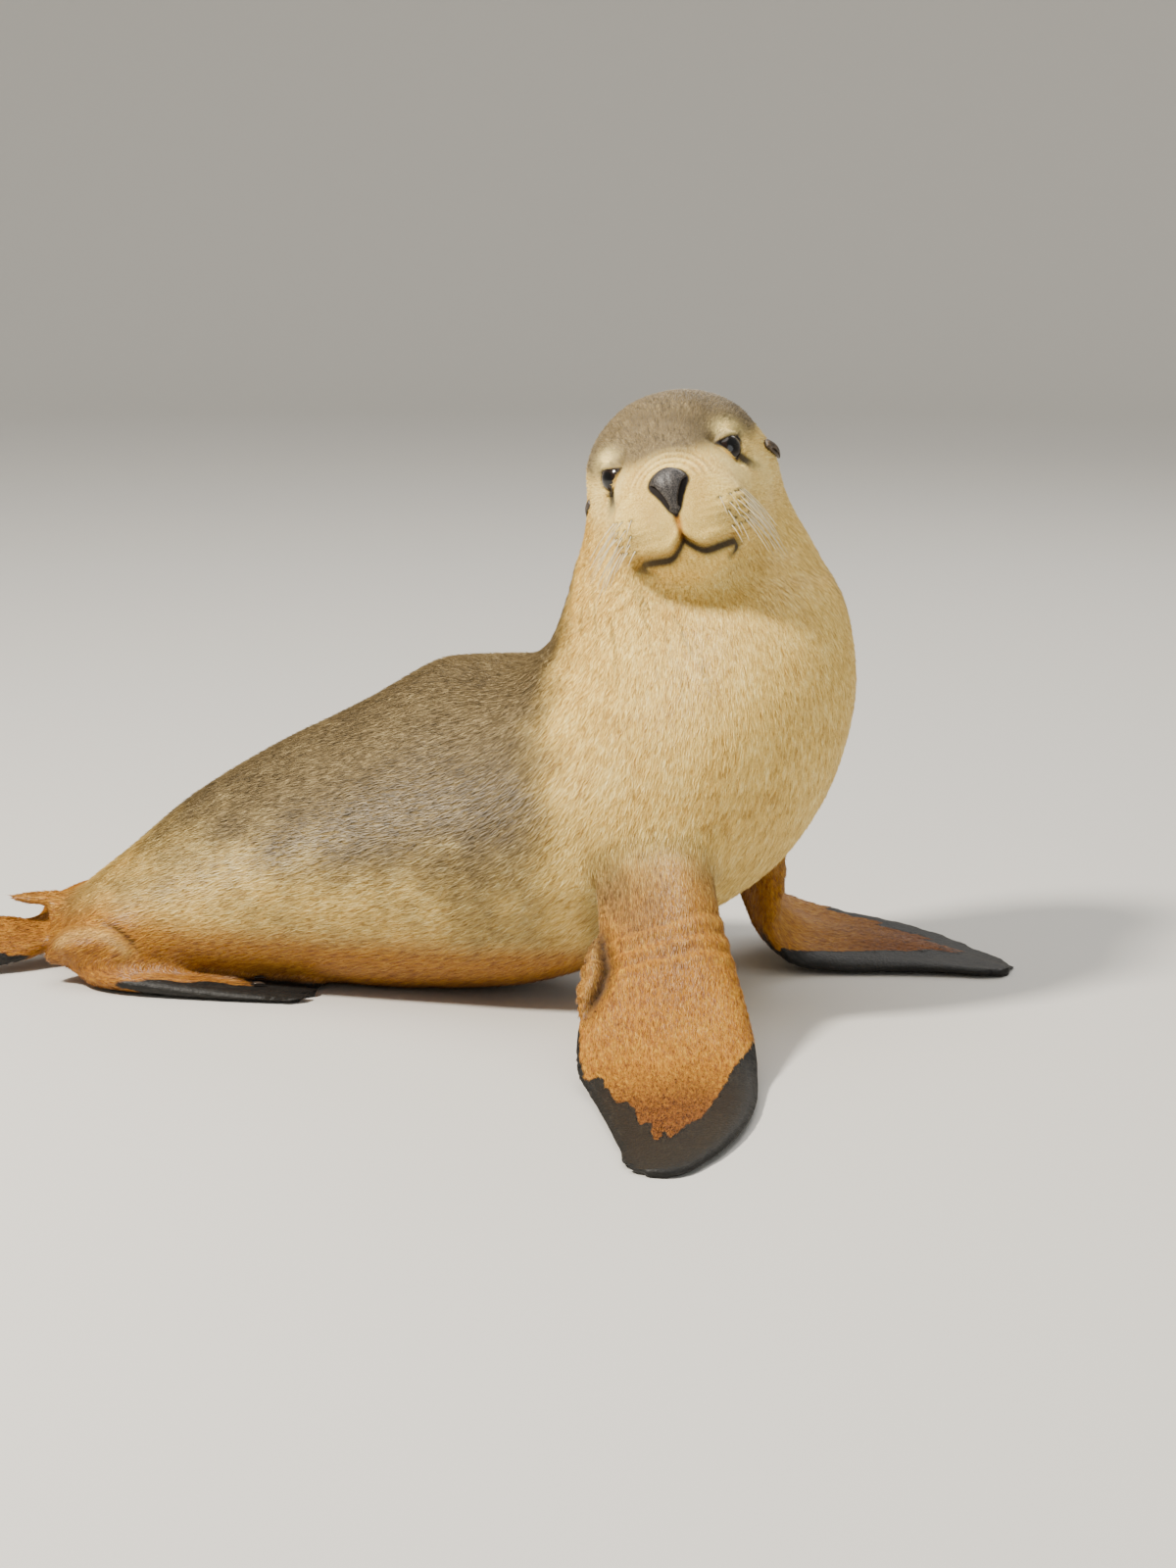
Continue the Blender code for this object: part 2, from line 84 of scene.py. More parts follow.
# Tail and hind legs: x, y, z, heading, roll, half the chord, half the thickness.
TAIL = (
    (-0.460, 0.128, 0.058, 180, 0, 0.020, 0.015), (-0.490, 0.128, 0.062, 180, 0, 0.018, 0.013),
    (-0.515, 0.127, 0.064, 180, 0, 0.014, 0.010), (-0.536, 0.126, 0.065, 180, 0, 0.008, 0.007),
    (-0.544, 0.126, 0.065, 180, 0, 0.004, 0.004),
)
HIND_LEG_RIGHT = (
    (-0.350, 0.084, 0.062, 180, 0, 0.030, 0.042), (-0.388, 0.068, 0.058, 180, 0, 0.036, 0.050),
    (-0.428, 0.060, 0.048, 178, 0, 0.035, 0.044), (-0.462, 0.058, 0.038, 176, 0, 0.029, 0.035),
    (-0.486, 0.058, 0.029, 176, 0, 0.020, 0.024), (-0.498, 0.058, 0.024, 176, 0, 0.008, 0.010),
)
HIND_LEG_LEFT = (
    (-0.390, 0.165, 0.056, 180, 0, 0.030, 0.040), (-0.430, 0.178, 0.050, 180, 0, 0.036, 0.044),
    (-0.468, 0.176, 0.044, 178, 0, 0.033, 0.038), (-0.500, 0.166, 0.038, 176, 0, 0.028, 0.030),
    (-0.518, 0.160, 0.036, 176, 0, 0.016, 0.020),
)

# Flippers: a plan of distance along, half the chord and half the thickness, and a course of x, y, z, heading
# and roll.
FORE_PLAN = (
    (0.000, 0.060, 0.040), (0.040, 0.064, 0.058), (0.085, 0.056, 0.049), (0.135, 0.051, 0.037),
    (0.185, 0.060, 0.028), (0.240, 0.071, 0.020), (0.290, 0.075, 0.015), (0.330, 0.070, 0.0120),
    (0.380, 0.062, 0.0102), (0.430, 0.051, 0.0088), (0.480, 0.036, 0.0074), (0.510, 0.024, 0.0062),
    (0.525, 0.008, 0.0048),
)
FORE_RIGHT = (
    (0.030, -0.048, 0.232, 88, 0), (0.040, -0.072, 0.202, 88, 0), (0.052, -0.100, 0.163, 88, 0),
    (0.060, -0.136, 0.120, 88, 0), (0.063, -0.175, 0.080, 88, 0), (0.064, -0.218, 0.042, 88, 0),
    (0.066, -0.265, 0.0155, 90, 0), (0.070, -0.305, 0.0080, 92, 0), (0.071, -0.356, 0.0063, 96, 0),
    (0.068, -0.408, 0.0053, 104, 0), (0.060, -0.458, 0.0043, 112, 0), (0.050, -0.488, 0.0036, 118, 0),
    (0.042, -0.503, 0.0030, 120, 0),
)
FORE_LEFT = (
    (0.090, 0.074, 0.232, -54, 0), (0.104, 0.095, 0.202, -54, 0), (0.124, 0.122, 0.163, -48, 0),
    (0.142, 0.142, 0.120, -36, 0), (0.155, 0.153, 0.082, -20, 4), (0.168, 0.158, 0.048, -6, 7),
    (0.200, 0.158, 0.0245, 3, 9), (0.237, 0.152, 0.0170, 6, 9), (0.283, 0.142, 0.0135, 4, 8),
    (0.328, 0.126, 0.0095, -2, 6), (0.366, 0.106, 0.0051, -10, 3), (0.387, 0.092, 0.0034, -18, 0),
    (0.397, 0.085, 0.0025, -22, 0),
)
HIND_PLAN = (
    (0.000, 0.024, 0.019), (0.040, 0.029, 0.017), (0.080, 0.031, 0.014), (0.120, 0.035, 0.0105),
    (0.160, 0.042, 0.0080), (0.195, 0.048, 0.0062), (0.220, 0.050, 0.0050), (0.232, 0.046, 0.0040),
)
HIND_RIGHT = (
    (-0.470, 0.056, 0.0160, 2, 0), (-0.432, 0.044, 0.0120, 3, 0), (-0.394, 0.035, 0.0095, 3, 0),
    (-0.356, 0.031, 0.0070, 2, 0), (-0.316, 0.031, 0.0052, 0, 0), (-0.281, 0.033, 0.0040, -2, 0),
    (-0.256, 0.035, 0.0033, -2, 0), (-0.244, 0.036, 0.0029, -2, 0),
)
HIND_LEFT = (
    (-0.485, 0.150, 0.0330, 176, -12), (-0.525, 0.126, 0.0275, 174, -24), (-0.565, 0.108, 0.0270, 172, -34),
    (-0.605, 0.097, 0.0250, 170, -32), (-0.645, 0.090, 0.0180, 170, -22), (-0.680, 0.087, 0.0095, 170, -10),
    (-0.704, 0.086, 0.0040, 170, 0), (-0.716, 0.085, 0.0026, 170, 0),
)

# Head, about the point midway between the eyes: ahead, top, widest height, bottom, half width, and the
# fullness of the section above and below (2 is an ellipse).
HEAD_AT = np.array((0.074, -0.006, 0.486))
HEAD_HEADING, HEAD_PITCH, HEAD_ROLL = 97.0, 12.0, 16.0
HEAD = {
    "back of the skull": (-0.128,  0.018, -0.030, -0.080, 0.050, 2.0, 2.0),
    "occiput":           (-0.115,  0.042, -0.028, -0.094, 0.074, 2.0, 2.0),
    "behind the ears":   (-0.090,  0.061, -0.024, -0.103, 0.087, 2.1, 2.0),
    "ears":              (-0.060,  0.071, -0.022, -0.107, 0.090, 2.2, 2.0),
    "temples":           (-0.030,  0.071, -0.024, -0.108, 0.084, 2.2, 1.9),
    "eyes":              ( 0.000,  0.058, -0.036, -0.108, 0.073, 2.2, 1.9),
    "stop":              ( 0.028,  0.034, -0.047, -0.108, 0.064, 2.0, 1.85),
    "bridge":            ( 0.050,  0.015, -0.053, -0.107, 0.060, 1.9, 1.8),
    "whisker pads":      ( 0.071,  0.000, -0.055, -0.102, 0.059, 1.8, 1.8),
    "lips":              ( 0.088, -0.007, -0.054, -0.091, 0.052, 1.9, 1.9),
    "front lip":         ( 0.100, -0.012, -0.050, -0.077, 0.037, 2.0, 2.0),
    "muzzle front":      ( 0.107, -0.022, -0.045, -0.064, 0.018, 2.0, 2.0),
}
# Swellings and hollows of the head: place, reach along each axis, and height.
HEAD_FORMS = {
    "brow ridge":   ((-0.006, 0.050,  0.026), (0.022, 0.020, 0.016),  0.0040),
    "eye socket":   (( 0.012, 0.066, -0.004), (0.020, 0.022, 0.015), -0.0050),
    "whisker pad":  (( 0.080, 0.038, -0.056), (0.026, 0.026, 0.017),  0.0060),
    "cheek":        (( 0.010, 0.070, -0.055), (0.034, 0.026, 0.026),  0.0030),
    "chin":         (( 0.072, 0.000, -0.100), (0.026, 0.024, 0.016),  0.0045),
    "nose bridge":  (( 0.062, 0.000,  0.004), (0.034, 0.016, 0.014),  0.0030),
    "lip lobe":     (( 0.090, 0.021, -0.069), (0.020, 0.018, 0.013),  0.0045),
}
# The line of the mouth, the eyes and the nose, all about the same point.
MOUTH_HEIGHT = -0.0722
MOUTH_LOBE_DROP, MOUTH_LOBE_ASIDE, MOUTH_CORNER_RISE = 0.0125, 0.018, 0.0050
MOUTH_CORNER_AHEAD, MOUTH_CORNER_ASIDE = 0.048, 0.054
EYE_AT = np.array((0.0070, 0.0440, 0.000))
EYE_RADIUS = 0.0190
NOSE_AT = np.array((0.101, 0.0, -0.033))
NOSE_HALF = np.array((0.013, 0.0160, 0.0215))
NOSE_HEIGHTS = (-1.00, -0.75, -0.55, -0.30, 0.00, 0.22, 0.40, 0.60, 1.00)
NOSE_WIDTHS = (0.66, 0.64, 0.63, 0.70, 0.88, 1.06, 1.14, 1.16, 1.10)

REAR_THINNING = 0.55             # how much thinner a flipper's trailing edge is than its leading edge

# How far the skin lies inside the solids, by form, so that the tips of the coat reach the solids' outline.
COAT_DEPTH = {"trunk": 0.0022, "head": 0.0014, "tail": 0.0012, "leg": 0.0014, "flipper": 0.0008}

# ---------------------------------------------------------------- sections and lofts

def heading_frame(heading, pitch, roll=0.0):
    """Forward, left and up of a part that points along a heading and a pitch; a roll lifts its left side."""
    h, p, r = (math.radians(angle) for angle in (heading, pitch, roll))
    forward = np.array((math.cos(p) * math.cos(h), -math.cos(p) * math.sin(h), math.sin(p)))
    left = np.array((math.sin(h), math.cos(h), 0.0))
    up = np.cross(forward, left)
    return forward, left * math.cos(r) + up * math.sin(r), up * math.cos(r) - left * math.sin(r)


HEAD_FRAME = np.array(heading_frame(HEAD_HEADING, HEAD_PITCH, HEAD_ROLL))


def head_place(local):
    """World places of points given ahead, aside to the animal's left, and up of the eyes' midpoint."""
    return STANCE + HEAD_AT + np.asarray(local) @ HEAD_FRAME


def head_local(places):
    """The reverse of head_place."""
    return (np.asarray(places) - STANCE - HEAD_AT) @ HEAD_FRAME.T


def smooth_rows(rows, at, reach=3):
    """The rows of a smooth curve through the given rows, at shares of its length over the first columns."""
    rows = np.array(rows, float)
    knots = np.concatenate([[0], np.cumsum(np.linalg.norm(np.diff(rows[:, :reach], axis=0), axis=1))])
    slopes = np.gradient(rows, knots, axis=0)
    place = np.clip(np.asarray(at, float), 0, 1) * knots[-1]
    i = np.clip(np.searchsorted(knots, place, side="right") - 1, 0, len(rows) - 2)
    span = (knots[i + 1] - knots[i])[:, None]
    t = (place - knots[i])[:, None] / span
    start, end = rows[i], rows[i + 1]
    return ((2 * t**3 - 3 * t**2 + 1) * start + (t**3 - 2 * t**2 + t) * slopes[i] * span
            + (3 * t**2 - 2 * t**3) * end + (t**3 - t**2) * slopes[i + 1] * span)


class Form:
    """A row of oval sections: where each lies, which way it faces and its half sizes.

    A foreflipper's lead tells where its leading edge lies: 1 is left of its middle and -1 right of it. The
    other limbs have 0, and trunk and head have none.
    """

    def __init__(self, kind, centre, left, up, sizes, fullness=None, lead=None):
        self.kind = kind
        self.centre = centre
        self.left = left
        self.up = up
        self.forward = np.cross(left, up)
        self.wide, self.rise, self.drop = sizes
        self.above, self.below = fullness if fullness is not None else (np.full(len(centre), 2.0),) * 2
        self.lead = lead
        steps = np.linalg.norm(np.diff(centre, axis=0), axis=1)
        self.along = np.concatenate([[0], np.cumsum(steps)])
        self.length = self.along[-1]

    def height_share(self, across, wide):
        """Share of its height that a section has: a flipper thins from its leading to its trailing edge."""
        return 1.0 if self.lead is None else 1 - REAR_THINNING * (1 - self.lead * across / wide) / 2

    def rings(self, sides):
        """Points of every section, a coat's depth inside the solid."""
        angle = np.arange(sides) * 2 * math.pi / sides
        c, s = np.cos(angle)[None], np.sin(angle)[None]
        depth = COAT_DEPTH[self.kind]
        wide = np.maximum(self.wide - depth, 0.001)[:, None]
        rise, drop = (np.maximum(size - depth, 0.001)[:, None] for size in (self.rise, self.drop))
        full = np.where(s > 0, self.above[:, None], self.below[:, None])
        across = wide * np.sign(c) * np.abs(c) ** (2 / full)
        height = np.where(s > 0, rise, drop) * np.sign(s) * np.abs(s) ** (2 / full)
        height = height * self.height_share(across, wide)
        return (self.centre[:, None] + across[:, :, None] * self.left[:, None]
                + height[:, :, None] * self.up[:, None])

    def measure(self, points):
        """For each point: distance outside the form, distance along it, across and up of its middle in metres
        and (side, rise) as shares of its half sizes, and the section that it lies nearest to."""
        ahead = points @ self.forward.T - (self.centre * self.forward).sum(axis=1)
        apart = ((points ** 2).sum(axis=1)[:, None] - 2 * points @ self.centre.T
                 + (self.centre ** 2).sum(axis=1))
        section = np.argmin(ahead ** 2 + 0.1 * apart, axis=1)
        offset = points - self.centre[section]
        over = ahead[np.arange(len(points)), section]
        across = (offset * self.left[section]).sum(axis=1)
        up = (offset * self.up[section]).sum(axis=1)
        wide = self.wide[section]
        full = np.where(up > 0, self.above[section], self.below[section])
        tall = np.where(up > 0, self.rise[section], self.drop[section])
        tall = tall * self.height_share(np.clip(across, -wide, wide), wide)
        ratio = (np.abs(across / wide) ** full + np.abs(up / tall) ** full) ** (1 / full)
        ratio = np.maximum(ratio, 1e-4)
        outside = (1 - 1 / ratio) * np.hypot(across, up)
        beyond = np.maximum(np.abs(over) - 2 * self.length / len(self.centre), 0)
        outside = np.hypot(np.maximum(outside, 0), beyond) + np.minimum(outside, 0) * (beyond == 0)
        return {"outside": outside, "along": self.along[section] + over, "across": across, "up": up,
                "side": across / wide, "rise": up / tall, "section": section}

    def fitted(self, points, normals, share):
        """Points drawn to the outline of their section, a coat's depth inside the solid, as far as they
        belong to this form. Those that face sideways go to its very edge, so that the edge runs smooth."""
        found = self.measure(points)
        section, across, up = found["section"], found["across"], found["up"]
        depth = COAT_DEPTH[self.kind]
        wide = np.maximum(np.interp(found["along"], self.along, self.wide) - depth, 0.001)
        tall = np.maximum(np.interp(found["along"], self.along, self.rise) - depth, 0.0008)
        tall = tall * self.height_share(np.clip(across, -wide, wide), wide)
        ratio = np.maximum(np.hypot(across / wide, up / tall), 0.05)
        slope = np.stack([across / wide ** 2, up / tall ** 2], axis=1) / ratio[:, None]
        move = slope * ((1 - ratio) / (slope ** 2).sum(axis=1))[:, None]
        sideways = (normals * self.left[section]).sum(axis=1)
        edge = (np.abs(sideways) > 0.55) & (across * sideways > 0) & (np.abs(across) > 0.5 * wide)
        move[edge] = np.stack([np.sign(across) * wide - across, -0.3 * up], axis=1)[edge]
        reach = np.maximum(np.linalg.norm(move, axis=1), 1e-9)
        weight = smoothstep(0.70, 0.95, share) * smoothstep(0.12, 0.30, found["along"] / self.length)
        move *= (weight * np.minimum(1, 0.006 / reach))[:, None]
        return points + move[:, :1] * self.left[section] + move[:, 1:] * self.up[section]


def body_form(count=180):
    rows = smooth_rows(list(TRUNK.values()), np.linspace(0, 1, count))
    frames = np.array([heading_frame(heading, pitch) for heading, pitch in rows[:, 3:5]])
    return Form("trunk", STANCE + rows[:, :3], frames[:, 1], frames[:, 2], rows[:, 5:8].T)


def head_form(count=80):
    rows = smooth_rows(list(HEAD.values()), np.linspace(0, 1, count), reach=4)
    ahead, top, middle, bottom, wide, above, below = rows.T
    centre = head_place(np.stack([ahead, 0 * ahead, middle], axis=1))
    left, up = (np.repeat(HEAD_FRAME[i][None], count, axis=0) for i in (1, 2))
    return Form("head", centre, left, up, (wide, top - middle, middle - bottom), (above, below))


def limb_form(kind, path, plan, lead, count=90):
    at = np.linspace(0, 1, count)
    rows = smooth_rows(path, at)
    chord, thick = smooth_rows(plan, at, reach=1)[:, 1:].T
    along = np.gradient(rows[:, :3], axis=0)
    along /= np.linalg.norm(along, axis=1)[:, None]
    h, r = np.radians(rows[:, 3]), np.radians(rows[:, 4])[:, None]
    left = np.stack([np.sin(h), np.cos(h), 0 * h], axis=1)
    left -= along * (left * along).sum(axis=1)[:, None]
    left /= np.linalg.norm(left, axis=1)[:, None]
    up = np.cross(along, left)
    left, up = left * np.cos(r) + up * np.sin(r), up * np.cos(r) - left * np.sin(r)
    return Form(kind, STANCE + rows[:, :3], left, up, (chord, thick, thick), lead=lead)


def leg_form(kind, rows, count=40):
    lengths = np.concatenate([[0], np.cumsum(np.linalg.norm(np.diff(np.array(rows)[:, :3], axis=0), axis=1))])
    plan = [(length, row[5], row[6]) for length, row in zip(lengths, rows)]
    return limb_form(kind, [row[:5] for row in rows], plan, 0, count)


FORMS = {
    "body": body_form(),
    "head": head_form(),
    "tail": leg_form("tail", TAIL),
    "foreflipper_right": limb_form("flipper", FORE_RIGHT, FORE_PLAN, 1),
    "foreflipper_left": limb_form("flipper", FORE_LEFT, FORE_PLAN, -1),
    "hindleg_right": leg_form("leg", HIND_LEG_RIGHT),
    "hindleg_left": leg_form("leg", HIND_LEG_LEFT),
    "hindflipper_right": limb_form("flipper", HIND_RIGHT, HIND_PLAN, 0),
    "hindflipper_left": limb_form("flipper", HIND_LEFT, HIND_PLAN, 0),
}
FORM_NAMES = list(FORMS)
FLESH = ("trunk", "neck", "head", "tail", "foreflipper_right", "foreflipper_left", "hindleg_right",
         "hindleg_left", "hindflipper_right", "hindflipper_left")


def sculpt_head(local):
    """Points of the head moved out from its core by its swellings and hollows, as in the solid."""
    core = np.stack([np.clip(local[:, 0], -0.05, 0.06), 0 * local[:, 1],
                     np.full(len(local), -0.02) - 0.25 * np.clip(local[:, 0], 0, 0.12)], axis=1)
    out = local - core
    out /= np.maximum(np.linalg.norm(out, axis=1), 1e-6)[:, None]
    push = np.zeros(len(local))
    for (ahead, aside, up), reach, height in HEAD_FORMS.values():
        for side in (1, -1) if aside else (1,):
            off = (local - (ahead, side * aside, up)) / reach
            push += height * np.exp(-(off ** 2).sum(axis=1))
    return local + out * push[:, None]


def smoothstep(low, high, value):
    """0 below low, 1 above high and a smooth rise between; low may be the larger of the two."""
    t = np.clip((value - low) / (high - low), 0, 1)
    return t * t * (3 - 2 * t)


def bell(value, middle, reach):
    """A smooth bump of height 1 about the middle."""
    return np.exp(-((value - middle) / reach) ** 2)


def mouth_line(aside):
    """Height of the line between the lips, at a distance from the head's middle: it drops round each pad."""
    aside = np.abs(aside)
    lobe = np.sin(np.clip(aside / MOUTH_LOBE_ASIDE, 0, 1) * math.pi / 2)
    return MOUTH_HEIGHT - MOUTH_LOBE_DROP * lobe + MOUTH_CORNER_RISE * smoothstep(
        0.7 * MOUTH_LOBE_ASIDE, MOUTH_CORNER_ASIDE, aside)


# ---------------------------------------------------------------- mesh helpers

def read(rows, key, width=1, kind=float):
    """A property of each of a mesh's vertices, edges, corners or faces, as an array."""
    values = np.empty(len(rows) * width, kind)
    rows.foreach_get(key, values)
    return values.reshape(-1, width) if width > 1 else values


def place_array(mesh):
    return read(mesh.vertices, "co", 3)


def normal_array(mesh):
    return read(mesh.vertex_normals, "vector", 3)


def edge_array(mesh):
    return read(mesh.edges, "vertices", 2, int)


def set_places(mesh, places):
    mesh.vertices.foreach_set("co", places.astype(np.float32).ravel())
    mesh.update()


def relaxed(values, edges, weight, rounds):
    """Values at the vertices, each drawn towards the mean of its neighbours for a number of rounds."""
    values = np.array(values, float)
    weight = np.broadcast_to(weight, len(values))[:, None]
    near = np.concatenate([edges, edges[:, ::-1]])
    count = np.maximum(np.bincount(near[:, 0], minlength=len(values)), 1)[:, None]
    for _ in range(rounds):
        total = [np.bincount(near[:, 0], column[near[:, 1]], len(values)) for column in values.T]
        values += weight * (np.stack(total, axis=1) / count - values)
    return values


def add_object(name, mesh):
    obj = bpy.data.objects.new(name, mesh)
    bpy.context.scene.collection.objects.link(obj)
    return obj


def taken_mesh(obj, name):
    """The object's evaluated mesh as a plain mesh; the object itself is removed."""
    graph = bpy.context.evaluated_depsgraph_get()
    mesh = bpy.data.meshes.new_from_object(obj.evaluated_get(graph), preserve_all_data_layers=True,
                                           depsgraph=graph)
    mesh.name = name
    bpy.data.objects.remove(obj)
    return mesh


def loft_faces(count, sides, first):
    """Faces over a grid of rings, with a fan at each end, for vertices numbered from first."""
    faces = []
    for i in range(count - 1):
        for j in range(sides):
            k = (j + 1) % sides
            faces.append((first + i * sides + j, first + i * sides + k,
                          first + (i + 1) * sides + k, first + (i + 1) * sides + j))
    last = (count - 1) * sides
    for j in range(sides):
        k = (j + 1) % sides
        faces.append((first + count * sides, first + k, first + j))
        faces.append((first + count * sides + 1, first + last + j, first + last + k))
    return faces


def add_tube(verts, faces, rings):
    """Adds a tube through rings of points, closed at both ends, to lists of vertices and faces."""
    faces += loft_faces(len(rings), rings.shape[1], len(verts))
    verts += [tuple(point) for point in rings.reshape(-1, 3)]
    verts += [tuple(rings[0].mean(axis=0)), tuple(rings[-1].mean(axis=0))]


def place_piece(obj, slot, material, *nodes):
    """Give a finished piece its material, let it ride on the body and stand for its solids."""
    if material is not None:
        obj.data.materials.clear()
        obj.data.materials.append(material)
    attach(obj, "root")
    if nodes:
        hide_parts(*nodes)


# ---------------------------------------------------------------- the skin's shape

def joined_forms(sides, voxel):
    """All the forms as one closed surface of even faces."""
    verts, faces = [], []
    for name, form in FORMS.items():
        rings = form.rings(sides)
        if name == "head":
            rings = head_place(sculpt_head(head_local(rings.reshape(-1, 3)))).reshape(rings.shape)
        add_tube(verts, faces, rings)
    mesh = bpy.data.meshes.new("forms")
    mesh.from_pydata(verts, [], faces)
    obj = add_object("forms", mesh)
    remesh = obj.modifiers.new("one surface", "REMESH")
    remesh.mode = "VOXEL"
    remesh.voxel_size = voxel
    return taken_mesh(obj, "skin")


class Survey:
    """What each form says of each vertex, and how strongly the vertex belongs to each form."""

    BLEND = 0.010                # distance over which neighbouring forms share a vertex

    def __init__(self, places):
        self.of = {name: form.measure(places) for name, form in FORMS.items()}
        outside = np.stack([self.of[name]["outside"] for name in FORM_NAMES])
        self.outside = outside
        self.form = np.argmin(outside, axis=0)
        share = np.exp(-(outside - outside.min(axis=0)) / self.BLEND)
        self.share = dict(zip(FORM_NAMES, share / share.sum(axis=0)))
        self.head = head_local(places)

    def shared(self, *names):
        """How strongly each vertex belongs to any of the named forms."""
        return sum(self.share[name] for name in names)


# Where two forms grow together: how near both surfaces the flesh between them is filled.
FILLETS = {
    ("body", "head"): 0.030, ("body", "foreflipper_right"): 0.034, ("body", "foreflipper_left"): 0.034,
    ("body", "hindleg_right"): 0.022, ("body", "hindleg_left"): 0.022, ("body", "tail"): 0.014,
    ("hindleg_right", "hindflipper_right"): 0.018, ("hindleg_left", "hindflipper_left"): 0.018,
}
FILLET_ROUNDS = 90


def fill_joins(mesh, survey):
    """Smooths the steps of the surface, and the creases where limbs and head grow from the body."""
    edges = edge_array(mesh)
    places = relaxed(place_array(mesh), edges, 0.6, 4)
    weight = np.zeros(len(places))
    for pair, reach in FILLETS.items():
        far = np.maximum(*(survey.outside[FORM_NAMES.index(name)] for name in pair))
        weight = np.maximum(weight, smoothstep(reach, 0.3 * reach, far))
    set_places(mesh, relaxed(places, edges, 0.5 * weight, FILLET_ROUNDS))


def fit_flippers(mesh):
    """Draws the flippers' thin edges, which the joining left stepped, to their true outlines."""
    edges = edge_array(mesh)
    for turn in range(4):
        share = Survey(place_array(mesh)).share
        flipper = sum(share[name] for name, form in FORMS.items() if form.kind == "flipper")
        if turn:
            set_places(mesh, relaxed(place_array(mesh), edges, 0.5 * smoothstep(0.7, 0.95, flipper), 2))
        places, normals = place_array(mesh), normal_array(mesh)
        for name, form in FORMS.items():
            if form.kind == "flipper":
                places = form.fitted(places, normals, share[name])
        set_places(mesh, places)


def refine(mesh, near_enough, rounds):
    """Splits the faces whose vertices near_enough picks, a number of times, and rounds the new surface."""
    shape = bmesh.new()
    shape.from_mesh(mesh)
    for step in range(rounds):
        shape.verts.ensure_lookup_table()
        picked = near_enough(np.array([vert.co for vert in shape.verts]), step)
        edges = [edge for edge in shape.edges if picked[edge.verts[0].index] and picked[edge.verts[1].index]]
        bmesh.ops.subdivide_edges(shape, edges=edges, cuts=1, use_grid_fill=True)
        shape.verts.index_update()
    bmesh.ops.triangulate(shape, faces=shape.faces[:])
    shape.to_mesh(mesh)
    shape.free()
    places = place_array(mesh)
    picked = near_enough(places, 0)
    set_places(mesh, relaxed(places, edge_array(mesh), 0.5 * picked, 3))


def fine_zone(places, step):
    """The parts with fine features: step 0 is the face, the heel and the armpits, and step 1 is the eyes, the
    lips, the bridge of the nose and the streaks of tears."""
    local = head_local(places)
    ahead, aside, up = local[:, 0], np.abs(local[:, 1]), local[:, 2]
    if step == 0:
        face = (ahead > -0.02) & (up > -0.115) & (ahead < 0.2) & (aside < 0.09) & (np.abs(up) < 0.12)
        gap, arc = heel_fold(places)
        folds = (arc > 0.02) & (np.abs(gap) < 0.018)
        for side in SIDES:
            form = FORMS["foreflipper_" + side]
            found = form.measure(places)
            at = found["along"] / form.length
            trailing = form.lead * found["side"] < -0.5
            folds |= (found["outside"] < 0.008) & (at > 0.28) & (at < 0.48) & trailing
        return face | folds
    eye = np.linalg.norm(np.stack([ahead, aside, up], axis=1) - EYE_AT, axis=1) < 1.45 * EYE_RADIUS
    muzzle = (ahead > 0.044) & (up < -0.028) & (up > -0.102)
    bridge = (ahead > 0.070) & (aside < 0.040) & (up > -0.030)
    tear = (ahead > -0.016) & (aside > 0.048) & (up < -0.002) & (up > -0.042)
    return eye | muzzle | bridge | tear


# The heel of the right hind leg: a roll of hide in an arc about a point (along the body and up), seen from
# the side.
HEEL_AT = np.array((-0.4546, 0.0127))
HEEL_RADIUS = 0.046


def heel_fold(places):
    """Distance outside the heel's arc, and how strongly each place belongs to the arc."""
    ahead = places[:, 0] - STANCE[0] - HEEL_AT[0]
    up = places[:, 2] - HEEL_AT[1]
    turn = np.degrees(np.arctan2(ahead, up))
    arc = smoothstep(66, 44, np.abs(turn - 4)) * smoothstep(0.082, 0.066, places[:, 1] - STANCE[1])
    return np.hypot(ahead, up) - HEEL_RADIUS, arc * (np.abs(ahead) < 0.08)


# The crease of the armpit: shares of the flipper's length, and how far across it the crease lies.
CREASE_ALONG = (0.29, 0.33, 0.375, 0.41, 0.46)
CREASE_ASIDE = (-0.97, -0.87, -0.76, -0.79, -0.92)


def armpit(fore, form):
    """How strongly each point belongs to the armpit's crease, and to the flap of loose hide behind it."""
    at, edge = fore["along"] / form.length, form.lead * fore["side"]
    crease_at = np.interp(at, CREASE_ALONG, CREASE_ASIDE)
    window = smoothstep(0.27, 0.33, at) * smoothstep(0.49, 0.42, at) * smoothstep(-0.5, 0.0, fore["rise"])
    return bell(edge, crease_at, 0.105) * window, smoothstep(0.0, -0.13, edge - crease_at) * window


# ---------------------------------------------------------------- sculpting

def ripple(places, size, seed=0.0):
    """A smooth random height between about -1 and 1 whose features have the given size."""
    shift = Vector((seed * 13.7, seed * 7.1, seed * 3.3))
    return np.array([mathutils.noise.noise(Vector(place) / size + shift) for place in places])


# Eyes: the way they look, the corners of the opening between the lids (outwards and up of the gaze), how
# round its corners are, and the lids' thickness.
GAZE = np.array((0.72, 0.686, 0.10))
GAZE /= np.linalg.norm(GAZE)
LID_CORNERS = np.array(((0.0170, 0.0086), (-0.0132, 0.0046), (0.0010, -0.0125)))
LID_ROUNDING = 0.0013
LID_THICKNESS, LID_RIM = 0.0016, 0.0011


